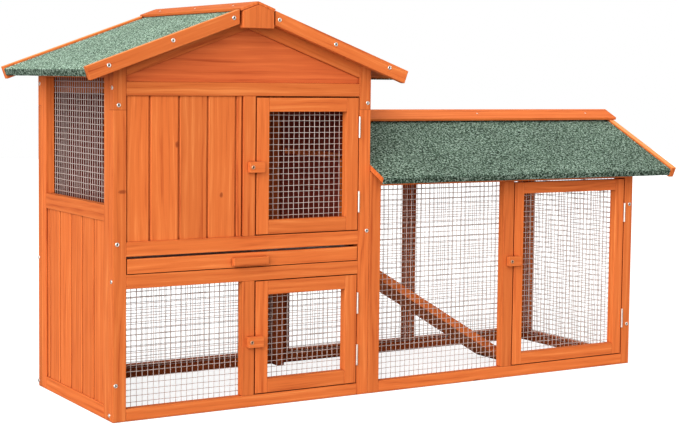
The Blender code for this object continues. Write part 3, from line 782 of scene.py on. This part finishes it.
def wall_rows(rail_top):
    """The posts and lower rails that the house's front and back share."""
    return [
        ("post_left", (HOUSE_LEFT, INNER[0]), (0.0, POST_TOP)),
        ("post_right", (INNER[1], HOUSE_RIGHT), (0.0, POST_TOP)),
        ("rail_bottom", INNER, (0.0, rail_top)),
        ("rail_middle", INNER, (LOWER_ROOM_TOP, SLOT_BOTTOM)),
    ]


def build_house_front():
    span = (FRONT, FRONT_BACK)
    post, *rows = wall_rows(BOTTOM_RAIL_TOP)
    boards("front", [post], span, "front", node="front_frame", material=WOOD_POST)
    rows += [
        ("rail_over_tray", INNER, (SLOT_TOP, UPPER_ROOM_BOTTOM)),
        ("stile_lower", LATCH_STILE, (BOTTOM_RAIL_TOP, LOWER_ROOM_TOP)),
        ("stile_upper", LATCH_STILE, (UPPER_ROOM_BOTTOM, UPPER_ROOM_TOP)),
    ]
    boards("front", rows, span, "front")
    gable_boards("front", span, panel_faces(FRONT + GABLE_SET_BACK, 1), "front_gable_frame")
    along, up = (INNER[0], LATCH_STILE[0]), (UPPER_ROOM_BOTTOM, UPPER_ROOM_TOP)
    faces = panel_faces(FRONT + PANEL_SET_BACK, 1)
    woods = {2: WOOD_BOARD_2, 4: WOOD_BOARD_4}
    grooved_boards("front_board", along, up, FRONT_GROOVES, faces, "front", "front_board_panel", woods)


SIDE_STILES = [
    ("stile_front", (INSIDE[0], SIDE_INNER[0]), (0.0, SIDE_TOP)),
    ("stile_back", (SIDE_INNER[1], INSIDE[1]), (0.0, SIDE_TOP)),
]
SIDE_RAIL_TOP = ("rail_top", SIDE_INNER, (SIDE_TOP - SIDE_STILE, SIDE_TOP))


def build_house_left():
    rails = [("rail_base", SIDE_INNER, (0.0, SIDE_BASE_TOP)), ("rail_middle", SIDE_INNER, SIDE_RAIL)]
    rows = [*SIDE_STILES, *rails, SIDE_RAIL_TOP]
    boards("left_side", rows, (HOUSE_LEFT, HOUSE_LEFT + THICK), "side", node="left_side_frame")
    up = (SIDE_BASE_TOP, SIDE_RAIL[0])
    faces = panel_faces(HOUSE_LEFT + SIDE_SET_BACK, 1)
    node = "left_side_boards"
    grooved_boards("left_side_board", SIDE_INNER, up, SIDE_GROOVES, faces, "side", node, groove=SIDE_GROOVE)


DOORWAY_Y = (-0.105, 0.150)
DOORWAY_Z = (0.335, 0.534)


def build_divider():
    """The wall between the house and the run, with the doorway to the ramp."""
    wall_z = (SLOT_BOTTOM, SIDE_TOP - SIDE_STILE)
    rows = [*SIDE_STILES, ("rail_middle", SIDE_INNER, (LOWER_ROOM_TOP, SLOT_BOTTOM)), SIDE_RAIL_TOP]
    # The divider's frame takes the copy of the stain with painted shade.
    boards("divider", rows, DIVIDER, "side", node="divider_frame", material=WOOD_ENCLOSED_SHADE)
    faces = panel_faces(HOUSE_RIGHT - PANEL_SET_BACK, -1)
    joints = np.linspace(*DOORWAY_Y, 5)[1:4]
    parts = [
        ("front", (SIDE_INNER[0], DOORWAY_Y[0]), wall_z, ()),
        ("below", DOORWAY_Y, (wall_z[0], DOORWAY_Z[0]), joints),
        ("above", DOORWAY_Y, (DOORWAY_Z[1], wall_z[1]), joints),
        ("back", (DOORWAY_Y[1], SIDE_INNER[1]), wall_z, ()),
    ]
    node = "divider_boards"
    for name, along, up, inside in parts:
        grooved_boards(f"divider_board_{name}", along, up, inside, faces, "side", node)
        node = None


def build_shutter():
    """The board that closes the doorway: three strips of board, with the grain level."""
    node = "doorway_shutter"
    for piece in strips("shutter_board", node, "side", 3, body=node, edge=0.0006):
        # Painted shade: the shutter's face towards the house gets the near-black inside copy of the stain.
        paint_faces(piece, (-1, 0, 0), WOOD_INSIDE_SHADE)


def build_house_back():
    span = (BACK_FRONT, BACK)
    rows = wall_rows(BACK_RAIL_TOP)
    # The back frame takes the copy of the stain with painted shade.
    boards("back", rows, span, "front", node="back_frame", material=WOOD_ENCLOSED_SHADE)
    gable_boards("back", span, panel_faces(BACK - GABLE_SET_BACK, -1))
    faces = panel_faces(BACK - PANEL_SET_BACK, -1)
    up = (SLOT_BOTTOM, UPPER_ROOM_TOP)
    grooved_boards("back_board", INNER, up, BACK_GROOVES, faces, "front", "back_board_panel")


RAMP_SLOPE = math.radians(31.1)
RAMP_DEEP = 0.020
RAMP_STRIP = 0.014
RAMP_TREAD = 0.008
CLEATS = 7
CLEAT_WIDE = 0.012
CLEAT_HIGH = 0.006


def build_ramp():
    """The ramp from the doorway down to the ground: two side strips, a tread and its cleats."""
    low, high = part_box("ramp")
    start, foot = low.x, high.x
    tan, cos, sin = math.tan(RAMP_SLOPE), math.cos(RAMP_SLOPE), math.sin(RAMP_SLOPE)
    top = (foot - start) * tan

    def section(over):
        """A slice of the ramp that reaches a height over its underside, square to the slope."""
        low_start = top - RAMP_DEEP / cos
        high_start = top - (RAMP_DEEP - over) / cos
        ground = [(start + low_start / tan, 0.0), (start + high_start / tan, 0.0)]
        return [(start, high_start), (start, low_start), *ground]

    inside = (low.y + RAMP_STRIP, high.y - RAMP_STRIP)
    strip = section(RAMP_DEEP)
    plank("ramp_strip_near", strip, (low.y, inside[0] - GAP), "front", ALONG_X, node="ramp")
    plank("ramp_strip_far", strip, (inside[1] + GAP, high.y), "front", ALONG_X)
    plank("ramp_tread", section(RAMP_TREAD), inside, "front", ALONG_X)
    length = (foot - start) / cos
    surface = top - (RAMP_DEEP - RAMP_TREAD) / cos
    for number in range(1, CLEATS + 1):
        along = length * number / (CLEATS + 1) - RAMP_TREAD
        near = (start + along * cos, surface - along * sin)
        far = (near[0] + CLEAT_WIDE * cos, near[1] - CLEAT_WIDE * sin)
        raised = [(x + CLEAT_HIGH * sin, z + CLEAT_HIGH * cos) for x, z in (far, near)]
        plank(f"ramp_cleat_{number}", [near, far, *raised], inside, "front", ALONG_Y, material=WOOD_RED)


# ---- roofs

DECK_SHARES = (0.0, 0.34, 0.67, 1.0)
FOLD_RADIUS = 0.004
FLAT_POINTS = 26
ARC_POINTS = 6
FELT_STEPS = 90
FELT_SWELL = 0.00016
CAP_THICK = 0.007
HOUSE_CAP_HALF = 0.0405
RUN_CAP_HALF = 0.042
HOUSE_BARGE_DEEP = 0.029
RUN_BARGE_DEEP = 0.026
RIDGE_BLOCK_HALF = 0.0415


def roof_deck(node, roof, span, turned):
    """Three boards that lie along the ridge, under the felt."""
    high = -(roof.drop + FELT_THICK + GAP)
    low = high - DECK_THICK
    foot = FELT_THICK + GAP
    length = roof.reach(roof.ridge) - foot
    edges = [foot + length * share for share in DECK_SHARES]
    replaced = node
    for number, (near, far) in enumerate(zip(edges, edges[1:]), 1):
        outline = roof.strip(near, roof.ridge - GAP, low, high)
        if number < len(DECK_SHARES) - 1:
            outline[2:] = [roof.square(far, low), roof.square(far, high)]
        options = {"node": replaced, "edge": DECK_EDGE}
        roof.plank(f"{node}_board_{number}", outline, span, turned, lay(roof.facing, 0, 0, 1), **options)
        replaced = None


def felt_line(roof):
    """The felt's outer line from the ridge to the eave and round the fold, as (along, offset)."""
    drop, radius = roof.drop, FOLD_RADIUS
    foot = -(drop + 2 * FELT_THICK + GAP + DECK_THICK)
    flat = [(along, -drop) for along in np.linspace(roof.reach(roof.ridge), radius, FLAT_POINTS)]
    arc = [
        (radius - radius * math.sin(turn), -drop - radius + radius * math.cos(turn))
        for turn in np.linspace(0, math.pi / 2, ARC_POINTS + 1)[1:]
    ]
    return flat + arc + [(0.0, offset) for offset in np.linspace(-drop - radius, foot, 5)[1:]]


def felt_sheet(node, roof, span, turned, seed, felt):
    """Roofing felt laid on a deck and folded down over its edge, with a slightly uneven surface."""
    outer = felt_line(roof)
    rng = np.random.default_rng(seed)
    phases = rng.uniform(0, 2 * math.pi, (5, 2))
    rates = rng.uniform(6, 34, (5, 2))
    sizes = np.array([1.0, 0.8, 0.5, 0.4, 0.3]) * FELT_SWELL
    shape = bmesh.new()
    layers = []
    for depth in (0.0, FELT_THICK * 0.9):
        rows = []
        for place in np.linspace(*span, FELT_STEPS):
            row = []
            for index, (along, offset) in enumerate(outer):
                waves = np.sin(along * rates[:, 0] + place * rates[:, 1] * 1.7 + phases[:, 0])
                swell = float((waves * sizes).sum()) - sizes.sum()
                inward = depth - swell
                if index < FLAT_POINTS:
                    spot = (along, offset - inward)
                elif offset < -roof.drop - FOLD_RADIUS:
                    spot = (along + inward, offset)
                else:
                    turn = (index - FLAT_POINTS + 1) / ARC_POINTS * math.pi / 2
                    spot = (along + inward * math.sin(turn), offset - inward * math.cos(turn))
                across, up = roof.square(*spot)
                if index == 0:
                    across, up = roof.at(roof.ridge - GAP, spot[1])
                if turned:
                    across = 2 * roof.ridge - across
                row.append(shape.verts.new(lay(roof.facing, across, up, place)))
            rows.append(row)
        layers.append(rows)
    rings = [top + under[::-1] for top, under in zip(*layers)]
    bridge(shape, rings)
    for ring in (rings[0], rings[-1]):
        for index in range(len(outer) - 1):
            shape.faces.new((ring[index], ring[index + 1], ring[-index - 2], ring[-index - 1]))
    bmesh.ops.recalc_face_normals(shape, faces=shape.faces)
    piece = place_piece(f"{node}_sheet", shape, "hutch", felt, node)
    # Painted shade: the faces of the fold that look down the slope, away from the ridge, get the darker felt.
    grain = Vector(roof.grain(turned))
    paint_faces(piece, grain if turned else -grain, FELT_FOLD_SHADE, 0.7)
    smooth_up_to(piece, 50)


def bargeboard(node, roof, end, depth, span, turned):
    """A board along the roof's edge, with a painted highlight on its upper edge."""
    outline = roof.strip(0.0, end, -depth, 0.0)
    piece = roof.plank(f"{node}_board", outline, span, turned, roof.grain(turned), node=node, edge=TRIM_EDGE)
    # Painted highlight: the faces that look up get the paler copy of the stain.
    upwards = lay(roof.facing, roof.sin if turned else -roof.sin, roof.cos, 0.0)
    paint_faces(piece, upwards, WOOD_TOP_HIGHLIGHT)


def ridge_cap(name, roof, half_width, low, span, turned, node):
    foot = roof.reach(roof.ridge - half_width)
    outline = roof.strip(foot, roof.ridge - GAP, low, low + CAP_THICK)
    roof.plank(name, outline, span, turned, lay(roof.facing, 0, 0, 1), node=node, edge=CAP_EDGE)


def build_house_roof():
    roof = HOUSE_ROOF
    span = span_of("house_roof_deck_left", 1)
    for seed, (side, turned) in enumerate((("left", False), ("right", True)), 31):
        roof_deck(f"house_roof_deck_{side}", roof, span, turned)
        felt_sheet(f"house_roof_felt_{side}", roof, span, turned, seed, FELT_HOUSE_LIT)
        cap = f"house_ridge_cap_{side}"
        ridge_cap(f"{cap}_board", roof, HOUSE_CAP_HALF, GAP - HOUSE_DROP, span_of(cap, 1), turned, cap)
        for where in ("front", "back"):
            barge = f"house_bargeboard_{where}_{side}"
            end = roof.ridge - RIDGE_BLOCK_HALF
            bargeboard(barge, roof, end, HOUSE_BARGE_DEEP, span_of(barge, 1), turned)
    for where in ("front", "back"):
        node = f"house_ridge_block_{where}"
        low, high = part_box(node)
        shoulder = roof.at(low.x, -HOUSE_DROP)
        peak = roof.at(roof.ridge, -HOUSE_DROP)
        outline = [(low.x, low.z), (high.x, low.z), (high.x, shoulder[1]), peak, shoulder]
        name = f"ridge_block_{where}_board"
        plank(name, outline, (low.y, high.y), "front", ALONG_Z, node=node, edge=TRIM_EDGE)


def build_run_roof():
    roof = RUN_ROOF
    span = span_of("run_roof_deck_front", 0)
    cap = "run_ridge_cap"
    for seed, (side, turned) in enumerate((("front", False), ("back", True)), 41):
        roof_deck(f"run_roof_deck_{side}", roof, span, turned)
        felt_sheet(f"run_roof_felt_{side}", roof, span, turned, seed, FELT_RUN_SHADED)
        node = None if turned else cap
        ridge_cap(f"{cap}_{side}_board", roof, RUN_CAP_HALF, GAP, span_of(cap, 0), turned, node)
        barge = f"run_bargeboard_{side}"
        bargeboard(barge, roof, roof.ridge - GAP, RUN_BARGE_DEEP, span_of(barge, 0), turned)


# ---- run


def build_run():
    sides = [
        ("front", (FRONT, FRONT_BACK), BOTTOM_RAIL_TOP, WOOD),
        # The back frame takes the copy of the stain with painted shade.
        ("back", (BACK_FRONT, BACK), BACK_RAIL_TOP, WOOD_ENCLOSED_SHADE),
    ]
    between = (RUN_POST_RIGHT, RUN_END_POST)
    for side, span, rail_top, wood in sides:
        rows = [
            ("post_house", (RUN_LEFT, RUN_POST_RIGHT), (0.0, RUN_TOP)),
            ("post_end", (RUN_END_POST, RUN_RIGHT), (0.0, RUN_TOP)),
            ("rail_top", between, (RUN_RAIL_BOTTOM, RUN_TOP)),
            ("rail_bottom", between, (0.0, rail_top)),
            ("stile", RUN_STILE, (rail_top, RUN_RAIL_BOTTOM)),
        ]
        boards(f"run_{side}", rows, span, "front", node=f"run_{side}_frame", material=wood)
    build_run_end()


def build_run_end():
    """The run's far end: two stiles, two rafters and two rails."""
    span = (RUN_RIGHT - THICK, RUN_RIGHT)
    rail = (RUN_RAIL_BOTTOM, RUN_RAIL_BOTTOM + SIDE_STILE)
    roof = RUN_ROOF
    edge, inside = INSIDE[0], SIDE_INNER[0]
    stile = [(edge, 0.0), (inside, 0.0), *roof.line((inside, roof.under), (edge, roof.under))]
    rafter_low = roof.under - SIDE_STILE
    start = roof.eave[0] + (rail[1] - roof.eave[1] - rafter_low / roof.cos) / roof.tan
    inner_end = [roof.at(inside, roof.under), (inside, rail[1]), (start, rail[1])]
    rafter = inner_end + roof.line((0.0, rafter_low), (0.0, roof.under))
    roof.plank("run_end_stile_front", stile, span, False, ALONG_Z, node="run_end_frame")
    # The back stile takes the copy of the stain with painted shade.
    roof.plank("run_end_stile_back", stile, span, True, ALONG_Z, material=WOOD_ENCLOSED_SHADE)
    for side, turned in (("front", False), ("back", True)):
        roof.plank(f"run_end_rafter_{side}", rafter, span, turned, roof.grain(turned))
    rows = [("rail_bottom", SIDE_INNER, (0.0, BOTTOM_RAIL_TOP)), ("rail_top", SIDE_INNER, rail)]
    # The rails take the copy of the stain with painted shade.
    boards("run_end", rows, span, "side", material=WOOD_ENCLOSED_SHADE)


# ---- doors, buttons, tray

DOOR_RAILS = {"upper_door": 0.030, "lower_door": 0.030, "run_door": 0.027}
BARREL_RADIUS = 0.0022
BARREL_EASE = 0.0003
KNUCKLES = 5
KNUCKLE_GAP = 0.0003
LEAF_THICK = 0.0008
LEAF_INSET = 0.0002
BUTTON_TAIL = 0.008
BUTTON_CUT = 0.0012


def build_door_frame(door, rail):
    node = f"{door}_frame"
    low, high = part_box(node)
    z_span = (low.z, high.z)
    inner_x = (low.x + rail, high.x - rail)
    rows = [
        ("stile_latch", (low.x, inner_x[0]), z_span),
        ("stile_hinge", (inner_x[1], high.x), z_span),
        ("rail_bottom", inner_x, (low.z, low.z + rail)),
        ("rail_top", inner_x, (high.z - rail, high.z)),
    ]
    boards(door, rows, (low.y, high.y), "front", node=node, body=door)


def build_hinge(door, where):
    """A butt hinge: five knuckles on a pin, and the leaf let into the door's edge."""
    node = f"{door}_hinge_{where}"
    low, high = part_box(node)
    axis_x = (low.x + high.x) / 2
    axis_y = low.y + BARREL_RADIUS
    length = (high.z - low.z) / KNUCKLES
    tall = length - KNUCKLE_GAP
    neck = BARREL_RADIUS - BARREL_EASE
    profile = [(0, 0), (neck, 0), (BARREL_RADIUS, BARREL_EASE)]
    profile += [(BARREL_RADIUS, tall - BARREL_EASE), (neck, tall), (0, tall)]
    shapes = []
    for number in range(KNUCKLES):
        foot = (axis_x, axis_y, low.z + number * length + KNUCKLE_GAP / 2)
        shapes.append(lathe(profile, foot, ALONG_Z, 18))
    pin_radius = BARREL_RADIUS * 0.6
    pin = [(0, 0), (pin_radius, 0), (pin_radius, high.z - low.z), (0, high.z - low.z)]
    shapes.append(lathe(pin, (axis_x, axis_y, low.z), ALONG_Z, 12))
    leaf = rectangle((axis_x - LEAF_THICK / 2, axis_x + LEAF_THICK / 2), (axis_y, high.y))
    shapes.append(prism(leaf, (low.z + LEAF_INSET, high.z - LEAF_INSET), "flat"))
    piece = place_piece(f"{node}_steel", joined(shapes), door, ZINC, node, ALONG_Z)
    smooth_up_to(piece, 35)


def build_button(latch):
    """A wooden turn button with cut corners, and its pivot screw."""
    low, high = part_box(latch)
    cut = BUTTON_CUT
    outline = [(low.x + cut, low.z), (high.x - cut, low.z), (high.x, low.z + cut), (high.x, high.z - cut)]
    outline += [(high.x - cut, high.z), (low.x + cut, high.z), (low.x, high.z - cut), (low.x, low.z + cut)]
    options = {"body": latch, "node": latch, "edge": 0.0007}
    plank(f"{latch}_block", outline, (low.y, high.y), "front", ALONG_X, **options)
    pivot = (low.x + BUTTON_TAIL, low.y, (low.z + high.z) / 2)
    screws(f"{latch}_screw", [pivot], (0, -1, 0), body=latch, metal=ZINC_DULL)


PAN_WALL = 0.001
PAN_LIP_DEEP = 0.0024
PAN_LIP_WIDE = 0.0027
PAN_LIP_EASE = 0.0005
PAN_CORNER = 0.006
CORNER_STEPS = 4


def pan_ring(low, high, inset, radius):
    """A level ring with round corners inside a box, as (x, y) points."""
    reach = inset + radius
    x_side, y_side = (low.x + reach, high.x - reach), (low.y + reach, high.y - reach)
    points = []
    for start, (x, y) in enumerate(((1, 1), (0, 1), (0, 0), (1, 0))):
        for step in range(CORNER_STEPS + 1):
            turn = math.pi / 2 * (start + step / CORNER_STEPS)
            points.append((x_side[x] + radius * math.cos(turn), y_side[y] + radius * math.sin(turn)))
    return points


def build_tray():
    for node, board, edge in (("tray_front", "board", EDGE), ("tray_handle", "bar", 0.002)):
        outline, span = sheet(node, "front")
        plank(f"{node}_{board}", outline, span, "front", ALONG_X, "tray", node, edge=edge)
    low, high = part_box("tray_pan")
    lip = high.z - PAN_LIP_DEEP
    ease = PAN_LIP_EASE
    loops = [(0.0, low.z), (0.0, lip), (0.0, high.z - ease), (ease, high.z), (PAN_LIP_WIDE - ease, high.z)]
    loops += [(PAN_LIP_WIDE, high.z - 0.0006), (PAN_LIP_WIDE, lip)]
    loops += [(PAN_WALL, lip), (PAN_WALL, low.z + PAN_WALL)]
    shape = bmesh.new()
    rings = []
    for inset, height in loops:
        outline = pan_ring(low, high, inset, PAN_CORNER - inset)
        rings.append([shape.verts.new((x, y, height)) for x, y in outline])
    bridge(shape, rings)
    shape.faces.new(rings[0])
    shape.faces.new(rings[-1])
    bmesh.ops.recalc_face_normals(shape, faces=shape.faces)
    piece = place_piece("tray_pan_sheet", shape, "tray", SHEET, "tray_pan")
    smooth_up_to(piece, 40)


# ---- screws and brads, whose places are (along, height) from the house's left end or front

POST_SCREWS = [(0.012, 0.645), (0.009, 0.364), (0.006, 0.076), (0.602, 0.650), (0.603, 0.367)]
SIDE_SCREWS = [(0.005, 0.680), (0.009, 0.288), (0.019, 0.012), (0.420, 0.684), (0.427, 0.293), (0.430, 0.012)]
BARGE_SCREWS = [(-0.025, 0.724), (0.113, 0.776), (0.250, 0.825)]
BARGE_SCREWS += [(0.357, 0.824), (0.495, 0.776), (0.633, 0.728)]
RUN_SCREW_X = RUN_RIGHT - 0.009
RUN_SCREW_HEIGHTS = (0.400, 0.100)
BRAD_INSET = 0.022


def build_screws():
    """Screw heads on the posts and bargeboards, alike in front and behind, and on the left side."""
    faces = [("front", FRONT, (0, -1, 0)), ("back", BACK, (0, 1, 0))]
    for where, y, outward in faces:
        screws(f"{where}_frame_screws", [(HOUSE_LEFT + x, y, z) for x, z in POST_SCREWS], outward)
    screws("left_side_screws", [(HOUSE_LEFT, FRONT + y, z) for y, z in SIDE_SCREWS], (-1, 0, 0))
    for side, (where, _, outward) in enumerate(faces):
        y = span_of(f"house_bargeboard_{where}_left", 1)[side]
        screws(f"{where}_bargeboard_screws", [(HOUSE_LEFT + x, y, z) for x, z in BARGE_SCREWS], outward)
    for where, y, outward in faces:
        screws(f"run_{where}_screws", [(RUN_SCREW_X, y, z) for z in RUN_SCREW_HEIGHTS], outward)


def build_brads():
    """Small nails along one strip of each ridge cap."""
    caps = [
        ("house", HOUSE_ROOF, "house_ridge_cap_left", GAP - HOUSE_DROP, (0.14, 0.5, 0.86)),
        ("run", RUN_ROOF, "run_ridge_cap", GAP, (0.08, 0.5, 0.90)),
    ]
    for name, roof, cap, low, shares in caps:
        start, end = span_of(cap, AXES[roof.facing][2])
        spot = roof.at(roof.ridge - BRAD_INSET, low + CAP_THICK)
        places = [lay(roof.facing, *spot, start + share * (end - start)) for share in shares]
        nails(f"{name}_ridge_cap_brads", places, lay(roof.facing, -roof.sin, roof.cos, 0.0))


# ---- studio

FLOOR_HALF = 9.0
FLOOR_BASE = 0.35
FLOOR_GLOW = 0.86
AMBIENT = 0.42
CENTRE = Vector((0.0, 0.0, 0.4))


def build_floor_and_backdrop():
    """A grey floor that glows white to the camera only, so that shadows stay soft."""
    mesh = bpy.data.meshes.new("studio_floor")
    side = (-FLOOR_HALF, FLOOR_HALF)
    mesh.from_pydata([(*corner, 0.0) for corner in rectangle(side, side)], [], [(0, 1, 2, 3)])
    floor = add_object("studio_floor", mesh)
    material, tree, shader = new_material("studio_white")
    seen = add_node(tree, "ShaderNodeLightPath").outputs["Is Camera Ray"]
    glow = math_node(tree, "MULTIPLY", seen, FLOOR_GLOW)
    base = (FLOOR_BASE, FLOOR_BASE, FLOOR_BASE, 1.0)
    set_inputs(tree, shader, {"Base Color": base, "Roughness": 0.9, "Specular IOR Level": 0.1})
    set_inputs(tree, shader, {"Emission Color": (*WHITE, 1.0), "Emission Strength": glow})
    mesh.materials.append(material)


def build_world():
    """White to the camera, and a softer white to everything else."""
    world = bpy.data.worlds.new("studio")
    bpy.context.scene.world = world
    world.use_nodes = True
    tree = world.node_tree
    seen = add_node(tree, "ShaderNodeLightPath").outputs["Is Camera Ray"]
    strength = weighted_sum(tree, AMBIENT, [(seen, 1.0 - AMBIENT)])
    set_inputs(tree, tree.nodes["Background"], {"Color": (*WHITE, 1.0), "Strength": strength})


def add_lamp(name, kind, direction, power):
    data = bpy.data.lights.new(name, kind)
    data.energy = power
    lamp = add_object(name, data)
    lamp.rotation_mode = "QUATERNION"
    lamp.rotation_quaternion = Vector(direction).to_track_quat("-Z", "Y")
    return lamp


def build_lights():
    """Two broad suns, like a studio's walls of softboxes, and a weak fill at the right."""
    key = add_lamp("key", "SUN", (0.79, 0.62, -0.32), 5.2)
    key.data.angle = math.radians(70.0)
    top = add_lamp("top", "SUN", (-0.10, -0.15, -1.0), 0.85)
    top.data.angle = math.radians(60.0)
    place = Vector((3.4, -3.0, 2.2))
    fill = add_lamp("fill", "AREA", CENTRE - place, 20.0)
    fill.location = place
    fill.data.shape = "RECTANGLE"
    fill.data.size, fill.data.size_y = 3.0, 3.0


def build_camera():
    data = bpy.data.cameras.new("camera")
    data.sensor_width = 36.0
    data.lens = 79.9
    data.shift_x = -0.00987
    data.shift_y = -0.04241
    camera = add_object("camera", data)
    turn = Matrix.Rotation(math.radians(-31.53), 4, "Z")
    tilt = Matrix.Rotation(math.radians(90.0 - 4.04), 4, "X")
    roll = Matrix.Rotation(math.radians(0.67), 4, "Z")
    camera.matrix_world = Matrix.Translation((-1.880, -3.029, 0.705)) @ turn @ tilt @ roll
    bpy.context.scene.camera = camera


build_house_front()
build_house_left()
build_divider()
build_house_back()
build_shutter()
# The upper floor takes the copy of the stain with painted shade.
strips("upper_floor_board", "upper_floor", "flat", 5, material=WOOD_ENCLOSED_SHADE)
build_ramp()
build_house_roof()
build_run()
build_run_roof()
build_wire()
for door, rail in DOOR_RAILS.items():
    build_door_frame(door, rail)
    build_hinge(door, "top")
    build_hinge(door, "bottom")
for latch in ("upper_latch", "lower_latch", "run_latch"):
    build_button(latch)
build_tray()
build_screws()
build_brads()
build_floor_and_backdrop()
build_world()
build_lights()
build_camera()
bpy.context.scene.view_settings.view_transform = "Standard"
